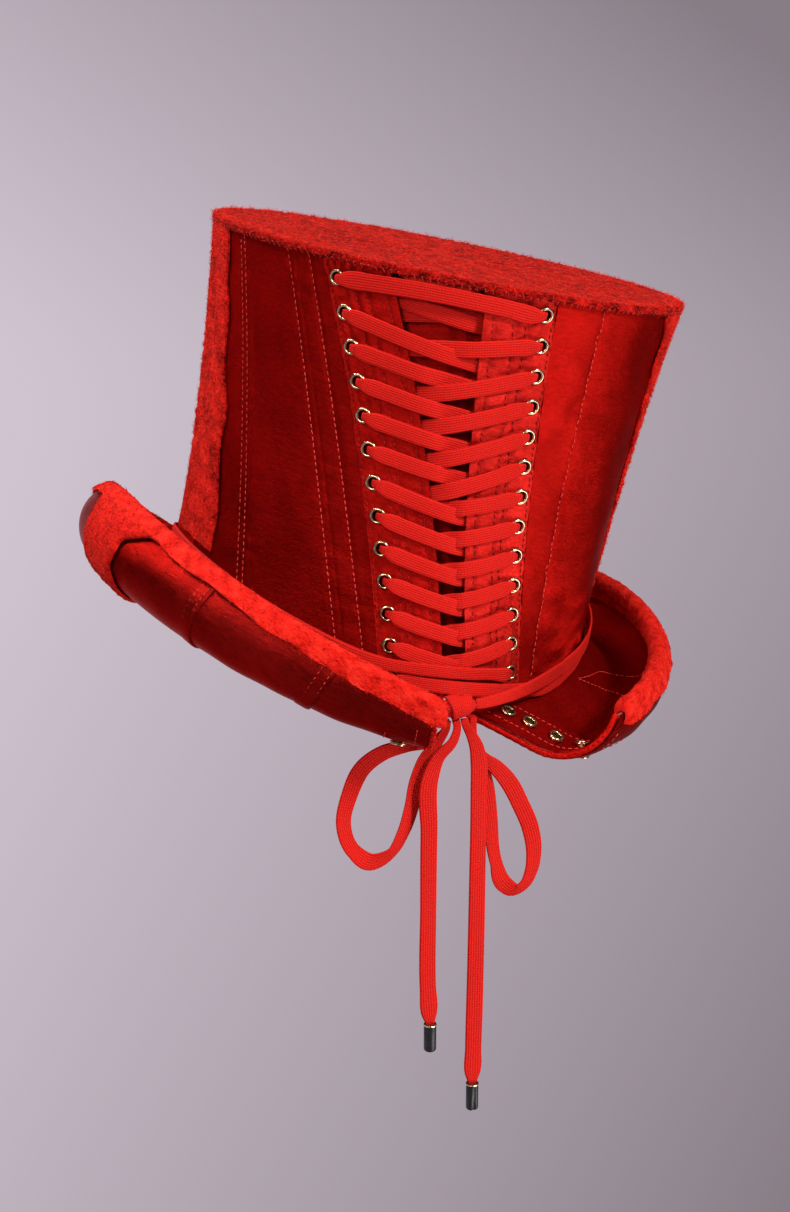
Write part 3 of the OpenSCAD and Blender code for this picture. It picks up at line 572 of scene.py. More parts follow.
SATIN = satin_mat("satin", (0.22, 0.0022, 0.0014), (0.54, 0.009, 0.006))
# A darker copy of the satin, painted shade, for the left panels that face away from the key light
SATIN_LEFT_SHADED = satin_mat("satin_left", (0.14, 0.0013, 0.0008), (0.32, 0.0046, 0.003), 0.46, 0.35)
# A darker copy of the satin, painted shade, for the brim's underside and its pleats
SATIN_UNDER_SHADED = satin_mat("under_satin", (0.1, 0.0012, 0.0009), (0.3, 0.0075, 0.0055), 0.3, 0.1)
# A lighter copy of the satin, painted light, for the right placket's facing where the key light falls
SATIN_FACE_LIT = satin_mat("facing_satin_lit", (0.3, 0.005, 0.0035), (0.78, 0.026, 0.019), 0.5, 0.6)
# A darker copy of the satin, painted shade, for the brim's top and the plackets' backings
SATIN_IN_SHADED = satin_mat("brim_satin", (0.17, 0.0016, 0.0011), (0.42, 0.0065, 0.0045), 0.56, 0.4)
# A light cloth for the top of the tongue: painted light over the shadow of the tip felt's skirt
TAPE_LIT = plain_mat("cotton_tape_lit", (0.45, 0.007, 0.005), (0.8, 0.022, 0.016), 700.0, 0.8, 0.4, 0.0, 0.1)
FELT, LACE, BRASS = felt_mat(), lace_mat(), brass_mat()
THREAD = thread_mat("thread", (0.46, 0.02, 0.015), (0.66, 0.055, 0.042))
# A darker copy of the thread for the quilting rows of the plackets: painted shade in their stitched dips
THREAD_SHADED = thread_mat("placket_thread_shaded", (0.2, 0.003, 0.002), (0.34, 0.008, 0.006))
AGLET = plain_mat("aglet_black", (0.005, 0.005, 0.006), (0.014, 0.014, 0.016), 300.0, 0.4, 0.1)
GOLD = plain_mat("aglet_rim", (0.5, 0.36, 0.16), (0.8, 0.66, 0.4), 500.0, 0.25, 0.1, 1.0)
LINING = weave_mat("lining_cloth", (0.045, 0.004, 0.004), (0.10, 0.008, 0.007), 0.9, 0.7)
BUCKRAM = plain_mat("buckram", (0.2, 0.02, 0.015), (0.34, 0.045, 0.035), 500.0, 0.85)
LEATHER = plain_mat("sweatband_leather", (0.035, 0.014, 0.010), (0.085, 0.036, 0.024), 260.0, 0.5, 0.5)
STEEL = plain_mat("spring_steel", (0.45, 0.45, 0.47), (0.65, 0.65, 0.67), 300.0, 0.35, 0.1, 1.0)

# Camera at the photograph's angle
CAM_AT = Vector((-0.3633, -0.9764, 0.3551))
CAM_FWD = Vector((0.3381, 0.8840, -0.3228)).normalized()


def aim(o, at, way):
    o.location = at
    o.rotation_mode = "QUATERNION"
    o.rotation_quaternion = way.to_track_quat("-Z", "Y")


cam = linked("camera", bpy.data.cameras.new("camera"))
aim(cam, CAM_AT, CAM_FWD)
cam.data.lens, cam.data.sensor_width = 77.23, 36.0
cam.data.clip_start, cam.data.clip_end = 0.05, 100.0
SCENE.camera = cam
SCENE.view_settings.view_transform = "Standard"

# Lamps in metres and watts, each towards the hat's middle
for name, at, size, power, colour in (
        ("key", (0.6, -1.1, 1.05), 0.32, 27.0, (1.0, 0.97, 0.94)),
        ("fill", (-0.9, -1.0, 0.85), 0.6, 11.0, (1.0, 0.98, 0.97)),
        ("left", (-0.8, -0.05, 1.35), 0.3, 7.5, (1.0, 0.97, 0.97)),
        ("left_high", (-0.7, 0.85, 1.1), 0.4, 17.0, (1.0, 0.97, 0.98)),
        ("right_low", (0.62, -0.8, -0.6), 0.7, 8.5, (1.0, 0.95, 0.95)),
        ("front", (-0.5, 1.6, 0.9), 0.8, 4.0, (1, 1, 1))):
    d = bpy.data.lights.new(name, "AREA")
    d.shape, d.size, d.energy, d.color = "DISK", size, power, colour
    aim(linked(name, d), at, Vector((0, -0.02, 0.04)) - Vector(at))

# World: brighter above than below, and pale where the camera sees it
FLOOR_TINT = (0.42, 0.37, 0.41, 1)
world = bpy.data.worlds.new("studio")
world.use_nodes = True
t = world.node_tree
up = node(t, "SeparateXYZ", [node(t, "TexCoord")["Generated"]])["Z"]
sky = node(t, "Background", [ramp(t, up, [(0.0, (0.08, 0.07, 0.08)), (0.45, (0.26, 0.24, 0.26))])])[0]
pale = node(t, "Background", [FLOOR_TINT])[0]
both = node(t, "MixShader", [node(t, "LightPath")["Is Camera Ray"], sky, pale])[0]
t.links.new(both, t.nodes["World Output"].inputs["Surface"])
SCENE.world = world

# Floor: where the camera sees it, it glows with painted light that fades from the left to the lower right and
# the upper right, as the light on the backdrop does
FLOOR_Z, FLOOR_R = -0.9, 14
fm = bpy.data.meshes.new("floor")
corners = [(x * FLOOR_R, y * FLOOR_R, FLOOR_Z) for x, y in ((-1, -1), (1, -1), (1, 1), (-1, 1))]
fm.from_pydata(corners, [], [(0, 1, 2, 3)])
linked("floor", fm)
m = bpy.data.materials.new("studio_floor")
m.use_nodes = True
t = m.node_tree
spot = node(t, "NewGeometry")["Position"]


def reach(way):
    n = node(t, "VectorMath", [spot, way], operation="DOT_PRODUCT")["Value"]
    return calc(t, "ADD", n, -CAM_AT.dot(way))


side = CAM_FWD.cross(Vector((0, 0, 1))).normalized()
depth = calc(t, "MAXIMUM", reach(CAM_FWD), 0.4)
across = calc(t, "DIVIDE", reach(side), depth)
off = calc(t, "ADD", calc(t, "DIVIDE", reach(side.cross(CAM_FWD)), depth), -0.091)
tent = calc(t, "SQRT", calc(t, "MULTIPLY_ADD", off, off, 0.0009))
fac = total(t, 0.74, (across, -2.28), (tent, -2.25), (off, -1.05))
painted_backdrop_light = node(t, "Emission", [ramp(t, fac, [(0.0, (0.245, 0.205, 0.235)), (1.0, (0.625, 0.548, 0.622))])])[0]
plain = node(t, "BsdfDiffuse", [FLOOR_TINT])[0]
path = node(t, "LightPath")
seen = calc(t, "MAXIMUM", path["Is Glossy Ray"], path["Is Transmission Ray"])
blend = node(t, "MixShader", [calc(t, "MAXIMUM", path["Is Camera Ray"], seen), plain, painted_backdrop_light])[0]
t.links.new(blend, t.nodes["Material Output"].inputs["Surface"])
fm.materials.append(m)


# Free ends of the lace: loops and tails, hanging straight down from the knot.
# A point is its place from the knot, the lace's width there and, where it differs, its thickness.
def hung(body, pts, roll, **facts):
    q = np.array([list(p) + [LACE_T] * (5 - len(p)) for p in pts], float)
    q[:, :3] += KNOT_ROW
    s = spline(q, 1.6)
    c = s[:, :3]
    tan = tangents(c)
    face = np.array([0, -1.0, 0])
    v = np.cross(unit(face - (tan @ face)[:, None] * tan), tan)
    a = np.radians(np.interp(steps(len(c)), *roll))[:, None]
    v = v * np.cos(a) + np.cross(tan, v) * np.sin(a)
    verts, faces, uv = ribbon_parts(c, v, s[:, 3], s[:, 4])
    o = mesh(body + "_lace", verts, faces, LACE, "lace", body, uv, frame_row=True, body=body, sharp=80)


def aglet(name, body, x, l, split):
    """A black tip with a gold rim; split opens a groove down its back side."""
    at = KNOT_ROW + np.array([x, -TAIL_Y, -l])
    r, low = AGLET_D / 2, -AGLET_L
    tube = [(r - 0.5, 0), (r - 0.12, 0.0), (r, -0.25), (r, low + 0.9), (r - 0.18, low + 0.35), (r - 0.6, low),
            (0.02, low), (0.02, low + 1.5), (r - 0.5, low + 1.5)]
    rim = [(r + 0.02, -0.25), (r + 0.16, -0.4), (r + 0.16, -0.75), (r + 0.02, -0.9), (r - 0.1, -0.9),
           (r - 0.1, -0.25)]
    v, f = lathe(tube, 40, at, np.eye(3))
    ang = np.arctan2(v[:, 1] - at[1], v[:, 0] - at[0])
    down = np.clip((at[2] - v[:, 2]) / AGLET_L, 0, 1)
    pinch = 1 - split * 0.42 * bell(np.abs(ang + math.pi / 2), 0.35) * smooth(0.1, 0.6, down)
    v[:, :2] = at[:2] + (v[:, :2] - at[:2]) * pinch[:, None]
    o = mesh(name + "_tube", v, f, AGLET, "aglet", name, frame_row=True, body=body, sharp=35)
    v, f = lathe(rim, 40, at, np.eye(3))
    return [o, mesh(name + "_rim", v, f, GOLD, "aglet", frame_row=True, body=body, sharp=35)]


left_tip = aglet("left_aglet", "left_tail", -12.4, LEFT_TAIL, 0.0)
right_tip = aglet("right_aglet", "right_tail", 6, RIGHT_TAIL, 1.0)
LEFT_LOOP = [
    [-4.3, 1, -DROP0, 3], [-4.6, 1, -9.5, 3.2], [-10, 1.2, -13.5, 4], [-20, 1.4, -14, 5],
    [-30, 1.4, -15.5, 6.4], [-38, 1, -20, 7], [-44, 0.6, -31, 7], [-46.4, 0.4, -41, 7],
    [-43, 0.2, -53, 7], [-35.5, -0.2, -59.4, 7], [-27.6, -0.6, -57, 7], [-22.2, -0.9, -48.4, 7],
    [-18.9, -1, -38.4, 7], [-16.5, -1, -27, 6.6], [-13, -1, -18.5, 5.6], [-7.5, -1, -12.5, 4],
    [-4.8, -1, -DROP0 - 3, 3.2], [-4.3, -1, -DROP0, 3]]
RIGHT_LOOP = [
    [6.5, -0.8, -DROP0, 3], [6.5, -0.8, -12, 3.2], [7.4, -0.8, -17, 3.8], [10.5, -0.8, -22, 4.6],
    [16, -0.8, -27, 6], [22, -0.4, -34.5, 7], [27.4, 0, -45, 7], [31.6, 0.2, -55, 7], [33.6, 0.4, -66, 7],
    [32.7, 0.6, -74.6, 7], [30, 0.7, -80, 7], [26, 0.8, -82, 7], [21.6, 0.95, -79, 7], [17, 1, -66, 7],
    [15, 1, -50, 7], [13, 1, -36, 7], [10.5, 1, -25, 5.6], [7.6, 1, -16, 3.8], [6.5, 1, -DROP0 - 5, 3.2],
    [6.5, 1, -DROP0, 3]]
LEFT_TAIL_PTS = [
    [-0.7, -0.4, -DROP0, 3.2], [-0.6, -1.9, -DROP0 - 2, 3.2], [-3, -4.2, -12, 4],
    [-9.5, -TAIL_Y, -18, 5.4], [-12.8, -TAIL_Y, -26, 7], [-13.2, -TAIL_Y, -48, 7],
    [-13.4, -TAIL_Y, -LEFT_TAIL * 0.62, 7], [-13.4, -TAIL_Y, -LEFT_TAIL + 16, 7],
    [-12.7, -TAIL_Y, -LEFT_TAIL + 4, 6.6], [-12.4, -TAIL_Y, -LEFT_TAIL - 0.3, 3.6, 1.6],
    [-12.4, -TAIL_Y, -LEFT_TAIL - 5, 3.2, 1.6]]
RIGHT_TAIL_PTS = [
    [2.9, -0.4, -DROP0, 3.2], [3, -1.4, -DROP0 - 2, 3.2], [4, -4, -DROP0 - 5, 4],
    [6, -TAIL_Y, -15, 5.6], [7.3, -TAIL_Y, -22, 7], [7.4, -TAIL_Y, -34, 7], [7.2, -TAIL_Y, -76, 7],
    [6.8, -TAIL_Y, -RIGHT_TAIL * 0.72, 7], [6.3, -TAIL_Y, -RIGHT_TAIL + 16, 7],
    [6.1, -TAIL_Y, -RIGHT_TAIL + 4, 6.6], [6, -TAIL_Y, -RIGHT_TAIL - 0.3, 3.6, 1.6],
    [6, -TAIL_Y, -RIGHT_TAIL - 5, 3.2, 1.6]]
hung("left_loop", LEFT_LOOP, ([0, 0.3, 0.5, 0.62, 0.8, 1], [0, 8, -34, 30, 6, 0]), far_end="object")
hung("right_loop", RIGHT_LOOP, ([0, 0.35, 0.52, 0.62, 0.8, 1], [0, 6, -30, 32, 6, 0]), far_end="object")
hung("left_tail", LEFT_TAIL_PTS, ([0, 0.3, 0.6, 1], [0, 4, -5, 0]), far_end="fitting", with_pieces=left_tip)
hung("right_tail", RIGHT_TAIL_PTS, ([0, 0.3, 0.7, 1], [0, -5, 5, 0]), far_end="fitting", with_pieces=right_tip)

# Laced length: through the eyelets, round the crown's base and into the knot.
# A point is its distance from the lacing's middle, height, height off the satin, width and thickness.
SQ_W, SQ_T, GAP_W = BORE * 0.66, BORE * 0.4, 6.4
FLAT = [GAP_W, LACE_T]
OVER = [(0.06, 1.15), (0.3, 1.1), (0.5, 0.8), (0.65, 0.1), (0.8, -0.7), (0.92, -1.4), (1, -1.9)]
UNDER = [(0.06, 1.1), (0.2, 0.9), (0.35, 0.1), (0.5, -0.8), (0.65, -1.25), (0.85, -1.5), (1, -1.95)]
BAND_A, BAND_B = 26, 322


def out_bend(s, k, z1):
    z = row_z(s, k)
    w = spread(z)
    return [[s * w, z, 0.2, SQ_W, SQ_T], [s * (w - 0.5), z, 1.45, SQ_W, SQ_T],
            [s * (w - 1.9), z, 2, SQ_W + 1.4, SQ_T], [s * (w - 4), mix(z, z1, 0.12), 1.75, 5.8, 1.4]]


def in_bend(s, k, z1):
    z = row_z(s, k)
    w = spread(z)
    return [[s * (w - 5), mix(z, z1, 0.25), -RUN_IN, 5.4, LACE_T],
            [s * (w - 1.9), z, -RUN_IN, SQ_W + 0.4, SQ_T - 0.2],
            [s * (w - 0.5), z, -RUN_IN + 0.35, SQ_W, SQ_T], [s * w, z, -RUN_IN + 1.5, SQ_W, SQ_T]]


def strand(s, k):
    """From an eyelet across the gap, over or under its fellow, to the next eyelet on the other side."""
    r = ROWS - 1 - k
    z0, z1 = row_z(s, r), row_z(-s, r - 1)
    g0, g1 = gap(z0), gap(z1)
    over = (k == 1 or k > 5) == (s < 0)
    zf = mix(z0, z1, 1.0 if over else (spread(z0) + g1) / (spread(z0) + spread(z1)))
    ze = mix(z0, zf, (spread(z0) - g0) / (spread(z0) + g1))
    return (out_bend(s, r, ze) + [[s * (g0 + 11), mix(z0, ze, 0.5), 1.05, *FLAT]]
            + [[mix(s * g0, -s * g1, f), mix(ze, zf, f), h, *FLAT] for f, h in (OVER if over else UNDER)]
            + [[-s * (g1 + 4), mix(zf, z1, 0.2), -3.4, *FLAT],
               [-s * (g1 + 9), mix(zf, z1, 0.5), -RUN_IN, *FLAT]]
            + in_bend(-s, r - 1, zf))


def first_strand(s):
    r = ROWS - 1
    z0, z1 = row_z(s, r), row_z(-s, r - 1)
    lift = 2.7 if s < 0 else 1.3
    middle = [[mix(s * spread(z0), -s * spread(z1), f), mix(z0, z1, f),
               -RUN_IN + (lift if 0.3 < f < 0.7 else 0), *FLAT] for f in (0.2, 0.35, 0.5, 0.65, 0.8)]
    return in_bend(s, r, z1)[::-1] + middle + in_bend(-s, r - 1, z0)


def bar():
    r = ROWS - 1
    a, b = out_bend(-1, r, row_z(1, r)), out_bend(1, r, row_z(-1, r))
    x, y = a[3], b[3]
    return a + [[mix(x[0], y[0], f), mix(x[1], y[1], f) + 2.0 * sind(180 * f), 1.05, GAP_W + 0.4, LACE_T]
                for f in (0.15, 0.32, 0.5, 0.68, 0.85)] + b[::-1]


def band_z(s, a):
    f = np.clip(-cosd(a), 0, 1) ** 4
    return base_z(a) + (8.6 + 4.8 * f if s > 0 else 3.9 - 0.2 * f)


def band_deep(p):
    return mix(1.15, 2.6, np.clip((abs(p) - 150) / 60, 0, 1))


def knot_end(s, d):
    return KNOT_AT + s * (KNOT_L / 2 + d) * np.array([cosd(LEAN), 0, sind(LEAN)])


def placed(q):
    r = []
    for p, z, h, *size in q:
        p, z = np.float64(p), np.float64(z)
        r.append([*(crown_pt(p, z, 0) + h * crown_n(p, z)), p + turn(z), z, *size])
    return r


def to_phi(q):
    return [[arc(p[0], p[1]), *p[1:]] for p in q]


def hatband(s):
    z, e = row_z(s, 0), knot_end(s, 2.8)
    start = to_phi(out_bend(s, 0, z))
    if s > 0:
        start[3][2] = 3
    p0 = arc(s * (spread(z) - 9), z)
    first = [[mix(p0, -s * BAND_A, f), mix(z, band_z(s, BAND_A), f if s > 0 else f * f), 2.6 if s > 0 else 1.7,
              LACE_W - (2 if s > 0 else 1.4), LACE_T] for f in np.arange(5) * 0.2]
    loop = []
    for i in range(44):
        p = -s * mix(BAND_A, BAND_B, i / 43)
        loop.append([p, band_z(s, p), 1.8 if i < 2 else band_deep(p), LACE_W, LACE_T])
    band = placed(start + first + loop)
    a, b = np.array(band[-1][:3]), e + np.array([s * 20, 1, 5])
    for f in (0.2, 0.4, 0.6, 0.8, 1):
        c = (1 - f) ** 2 * a + 2 * f * (1 - f) * b + f * f * e
        band.append([*c, s * mix(38, 5, f), mix(band_z(s, BAND_B), e[2], f), mix(LACE_W, 4.4, f), LACE_T])
    return band + [[*knot_end(s, 0.4), s * 5, e[2], 4, LACE_T]]


def half_lace(s):
    q = placed(to_phi(first_strand(s)))
    for k in range(1, ROWS - 1):
        q += placed(to_phi(strand(-s if k % 2 == 1 else s, k)))
    return q + hatband(s)


laced = spline(half_lace(-1)[::-1] + placed(to_phi(bar())) + half_lace(1), 1.8)
fl, a = flare(laced[:, 4]), laced[:, 3]
up = np.stack([fl * sind(a), -fl * cosd(a), np.ones(len(laced))], -1)
verts, faces, uv = ribbon_parts(laced[:, :3], up, laced[:, 5], laced[:, 6])
mesh("laced_lace", verts, faces, LACE, "lace", "lace", uv, sharp=80)

# Knot: two turns of the lace drawn tight round its ends
knot = Parts()
x, a = np.linspace(-KNOT_L / 2, KNOT_L / 2, 25), turns(32)
core = []
for q in x:
    r = 4.1 * math.sqrt(max(0.12, 1 - (q / (KNOT_L / 2 + 0.4)) ** 2)) * (1 + 0.08 * np.cos(5 * a + q * 0.5))
    core.append(KNOT_ROW + np.stack([np.full(32, q), r * np.cos(a), r * np.sin(a)], -1))
knot.add(*loft_parts(np.array(core)), np.stack([np.tile(a * 3.5, 25), np.repeat(x, 32)], -1))
g = np.linspace(-0.15, TURN + 0.35, 70)
for turn_x, tilt, r in ((-1.2, 1.7, 4.25), (2.4, -1.4, 4.0)):
    c = KNOT_ROW + np.stack([turn_x + tilt * np.sin(g / 2 + 0.6), r * np.sin(g), r * np.cos(g)], -1)
    knot.add(*ribbon_parts(c, np.tile([1.0, 0.12, 0.1], (70, 1)), np.full(70, 5.2), np.full(70, 1.1)))
knot.make("bow_knot_lace", LACE, "lace", stands_for="bow_knot", frame_row=True, sharp=80)


# Walls of the crown
def wall_grid(p0, p1, z0, z1, du, dv):
    wide = np.abs(p1(60.0) - p0(60.0)) / DEG * WAIST_W / 2
    v = steps(max(3, int(158 / dv)) + 1)
    u = steps(max(3, int(wide / du)) + 1)
    g = mix(SIDE_H - BASE_DIP, CROWN_H, v)
    p = mix(p0(g)[None, :], p1(g)[None, :], u[:, None])
    return p, mix(z0(p), z1(p), v[None, :])


def wall_piece(name, p0, p1, z0, z1, h0, h1, mat, node_name, slot, du=1.0, dv=2.0, form=None, top=0.3):
    """A sheet between two lines, two heights and two distances from the crown's surface."""
    p, z = wall_grid(p0, p1, z0, z1, du, dv)
    h, k = (x(p, z) if callable(x) else x for x in (h0, h1))
    if form is not None:
        h = h + np.clip(form(p, z), -0.45, top)
    v, f = shell_parts(crown_pt(p, z, h), crown_pt(p, z, k))
    return mesh(name, v, f, mat, slot, node_name, flat_uv(p / DEG * CROWN_R, z, 2))


def stitch_dips(p, z, lines, depth=0.3, width=0.9):
    return -depth * sum(bell(off_line(p, z, line), width) for line in lines)


def puckers(p, z, line, seed, reach=5.0, amp=0.22, size=7.0):
    return amp * np.exp(-np.abs(off_line(p, z, line)) / reach) * waves(p * 0.25, z, seed, size)


def pin_axes(ax):
    e1 = unit(np.cross(ax, [0.3, 0.2, 0.9]))
    return np.array([e1, np.cross(ax, e1), ax])


def bore(o, pins):
    """Cuts round holes through a piece, one for each point and axis."""
    n, verts, faces = 28, [], []
    t = turns(n)[:, None]
    for at, ax in pins:
        e1, e2, _ = pin_axes(ax)
        ring = (BARREL_R + 0.05) * (np.cos(t) * e1 + np.sin(t) * e2)
        b = len(verts)
        verts += (row(np.concatenate([at + ring - 8 * ax, at + ring + 8 * ax])) / 1000).tolist()
        faces += [[b + k, b + (k + 1) % n, b + n + (k + 1) % n, b + n + k] for k in range(n)]
        faces += [[b + k for k in range(n)][::-1], [b + n + k for k in range(n)]]
    m = bpy.data.meshes.new("pins")
    m.from_pydata(verts, [], faces)
    tool = linked("pins", m)
    mod = o.modifiers.new("holes", "BOOLEAN")
    mod.object, mod.operation, mod.solver = tool, "DIFFERENCE", "EXACT"
    cut = bpy.data.meshes.new_from_object(o.evaluated_get(bpy.context.evaluated_depsgraph_get()))
    o.modifiers.clear()
    o.data = cut
    bpy.data.objects.remove(tool)
    bpy.data.meshes.remove(m)


class Stitches:
    """Short rounded stitches, gathered into one piece."""

    def __init__(self):
        self.v, self.n = [], 0

    def add(self, c, t, up, length, thick):
        """Middles, directions along the stitch, and normals."""
        t = unit(t)
        up = unit(up - (up * t).sum(-1, keepdims=True) * t)
        k = turns(6)[:, None]
        ring = np.cos(k) * up[:, None] + np.sin(k) * np.cross(t, up)[:, None]
        rings = []
        for x, r in ((-0.5, 0.35), (-0.3, 0.95), (0.3, 0.95), (0.5, 0.35)):
            q = c + t * (x * length) + up * ((0.25 - x * x) * 0.9 * thick)
            rings.append(q[:, None] + r * thick / 2 * ring)
        self.v.append(np.stack(rings, 1).reshape(-1, 3))
        self.n += len(c)

    def path(self, pts, ups, period=2.5, length=1.6, thick=0.42, waver=0.0):
        d = run(pts)
        s = np.arange(period / 2, d[-1], period)
        s = s + RNG.normal(0, period * 0.05, len(s))
        at, up, tan = (np.stack([np.interp(s, d, q[:, i]) for i in range(3)], -1)
                       for q in (pts, ups, tangents(pts)))
        up, tan = unit(up), unit(tan)
        zigzag = waver * (np.arange(len(s)) % 2 * 2 - 1)[:, None]
        tan = tan + np.cross(tan, up) * (RNG.normal(0, 0.07, (len(s), 1)) + zigzag)
        self.add(at, tan, up, length * RNG.uniform(0.85, 1.12, (len(s), 1)), thick)

    def make(self, name, mat, slot):
        one = [[i + k, i + (k + 1) % 6, i + 6 + (k + 1) % 6, i + 6 + k] for i in (0, 6, 12) for k in range(6)]
        one += [[0, 5, 4, 3], [3, 2, 1, 0], [18, 19, 20, 21], [21, 22, 23, 18]]
        f = (np.array(one)[None] + np.arange(self.n)[:, None, None] * 24).reshape(-1, 4)
        mesh(name, np.concatenate(self.v), f, mat, slot, sharp=80)


class Fibres:
    """Loose fibres of the nap, gathered into one piece."""

    def __init__(self):
        self.v, self.t, self.n = [], [], 0

    def on(self, grid, count, outward, length, lift):
        """Grows so many fibres a square millimetre on a grid of points, at angles of lift from it."""
        a = grid[1:, :-1] - grid[:-1, :-1]
        b = grid[:-1, 1:] - grid[:-1, :-1]
        area = np.linalg.norm(np.cross(a, b), axis=-1)
        pick = RNG.choice(area.size, int(count * area.sum()), p=(area / area.sum()).ravel())
        m, (i, j) = len(pick), np.divmod(pick, area.shape[1])
        u, w = RNG.random(m)[:, None], RNG.random(m)[:, None]
        n = unit(np.cross(a, b)[i, j]) * outward
        at = grid[i, j] + u * a[i, j] + w * b[i, j] - 0.1 * n
        ang = RNG.uniform(0, TURN, m)[:, None]
        flat = np.cos(ang) * unit(a[i, j]) + np.sin(ang) * unit(b[i, j])
        el = np.radians(RNG.uniform(*lift, m))[:, None]
        d0 = flat * np.cos(el) + n * np.sin(el)
        side = unit(np.cross(d0, n))
        d1 = unit(d0 + side * RNG.normal(0, 0.5, (m, 1)) - n * RNG.uniform(0.0, 0.5, (m, 1)))
        ln = RNG.uniform(*length, m)[:, None]
        r = RNG.uniform(0.06, 0.11, m)[:, None]
        mid = at + d0 * ln * 0.5
        up = np.cross(side, d0)
        pts = [c + k * r * (math.cos(t) * side + math.sin(t) * up)
               for c, k in ((at, 1.0), (mid, 0.8)) for t in turns(3)]
        self.v.append(np.stack(pts + [mid + d1 * ln * 0.5], 1).reshape(-1, 3))
        # A fibre's tone is random, and painted lighter towards its tip: painted light
        self.t.append(np.repeat(RNG.normal(0.1, 0.12, m), 7) + np.tile([0, 0, 0, 0.05, 0.05, 0.05, 0.1], m))
        self.n += m

    def make(self, name, mat, slot):
        k = np.arange(self.n)[:, None, None] * 7
        f = (np.array([[0, 1, 4, 3], [1, 2, 5, 4], [2, 0, 3, 5]])[None] + k).reshape(-1, 4).tolist()
        f += (np.array([[3, 4, 6], [4, 5, 6], [5, 3, 6], [2, 1, 0]])[None] + k).reshape(-1, 3).tolist()
        v = np.concatenate(self.v)
        mesh(name, v, f, mat, slot, uv=v[:, [0, 2]], tone_and_shade=np.concatenate(self.t), sharp=180)


# Satin panels, dipped along their rows of stitches and puckered at their seams
DOUBLE, TRIPLE, RIGHT = line_of(DOUBLE_SEAM), line_of(TRIPLE_SEAM), line_of(RIGHT_SEAM)
MID_L = line_of(STRIP_MID)
EDGE_L, EDGE_R = eyelet_line(-1, PLACKET_OUT), eyelet_line(1, PLACKET_OUT)
LEFT_ROWS = [shift(TRIPLE, -6.0), shift(TRIPLE, -3.0), shift(DOUBLE, -2.8), shift(DOUBLE, 7.8)]


def left_form(p, z):
    f = stitch_dips(p, z, LEFT_ROWS) + 0.2 * waves(p * 1.5, z, 3, 46)
    for k, line in enumerate((TRIPLE, DOUBLE, shift(DOUBLE, 7.8))):
        f = f + puckers(p, z, line, 20 + k) - 0.28 * bell(off_line(p, z, line), 0.7)
    return f


def right_form(p, z):
    f = 0.24 * waves(p * 1.5, z, 5, 30) + 0.12 * waves(p * 0.6, z, 6, 9)
    return f + puckers(p, z, RIGHT, 30, 6.0, 0.26, 8.0) - 0.4 * bell(off_line(p, z, RIGHT), 0.8)


def plain_form(p, z):
    return 0.24 * waves(p * 1.5, z, 8, 40)


for name, p0, p1, mat, form, *fine in (
        ("left_rear", DOUBLE, EDGE_L, SATIN_LEFT_SHADED, left_form, 1.0, 2.0),
        ("left_quarter", TRIPLE, DOUBLE, SATIN_LEFT_SHADED, left_form, 1.0, 2.0),
        ("left_side", MID_L, TRIPLE, SATIN_LEFT_SHADED, left_form, 1.0, 2.0),
        ("right_rear", EDGE_R, RIGHT, SATIN, right_form, 1.0, 2.0),
        ("right_side", RIGHT, mirrored(MID_L), SATIN, right_form, 1.6, 2.4),
        ("front", mirrored(MID_L), around(MID_L), SATIN, plain_form, 3.0, 4.0)):
    wall_piece("satin_" + name, p0, p1, foot, head, 0, -SATIN_T, mat, name + "_panel", "satin", *fine, form)


# Plackets, quilted between their rows of stitches, and pulled in at each eyelet
def quilt_lines(s):
    return [placket_line(s, 3.6), placket_line(s, 11.6), eyelet_line(s, -6.5), eyelet_line(s, 3.8)]


def placket_form(s):
    def form(p, z):
        f = stitch_dips(p, z, quilt_lines(s), 0.45, 1.0)
        f = f + 0.2 * waves(p * 1.4, z, 41 + s, 5.5) + 0.16 * waves(p * 1.4, z, 44 + s, 12)
        u = off_line(p, z, eyelet_line(s, 0))
        for k in range(ROWS):
            up = z - row_z(s, k)
            r, t = np.hypot(u, up), np.arctan2(up, u)
            f = f - 0.3 * bell(r - 3.4, 1.6) + 0.22 * bell(r - 5, 2.2) * np.sin(9 * t + k * 1.7)
        return f
    return form


crown_pins = {}
for s, name in SIDES:
    z = row_z(s, np.arange(ROWS))
    p = eyelet_line(s, 0)(z)
    crown_pins[s] = list(zip(crown_pt(p, z, 0), crown_n(p, z)))
    for kind, inset, high, h0, h1, mat, *fine in (
            ("facing", 0, head, 0, -FACING_IN, SATIN_FACE_LIT if s > 0 else SATIN, 0.8, 1.3,
             placket_form(s), 0.22),
            ("backing", 5.0, under_tip, -BACKING_OUT, -BACKING_IN, SATIN_IN_SHADED, 2.4, 3.0)):
        edges = (placket_line(s, inset), eyelet_line(s, PLACKET_OUT))[::s]
        o = wall_piece(name + "_" + kind, *edges, foot, high, h0, h1, mat, name + "_placket_" + kind, "satin",
                       *fine)
        bore(o, crown_pins[s])


# Tongue, the cloth that closes the gap above the top bar, and the inside of the crown
def tongue_deep(p, z):
    w = np.abs(p - LACING) / DEG * half_w(z) - spread(z)
    return mix(TONGUE_OUT, INNER_OUT, np.clip((w - 4) / 5, 0, 1))


def tongue_form(p, z):
    w = off_line(p, z, lambda q: LACING)
    return 0.25 * np.sin(w * 0.9 + 1.2 * waves(p, z, 51, 60)) - 0.2


def sloped(at_top, at_foot):
    return lambda p, z: mix(at_top, at_foot, smooth(7.0, 10.4, tip_down(p, 0) - z))


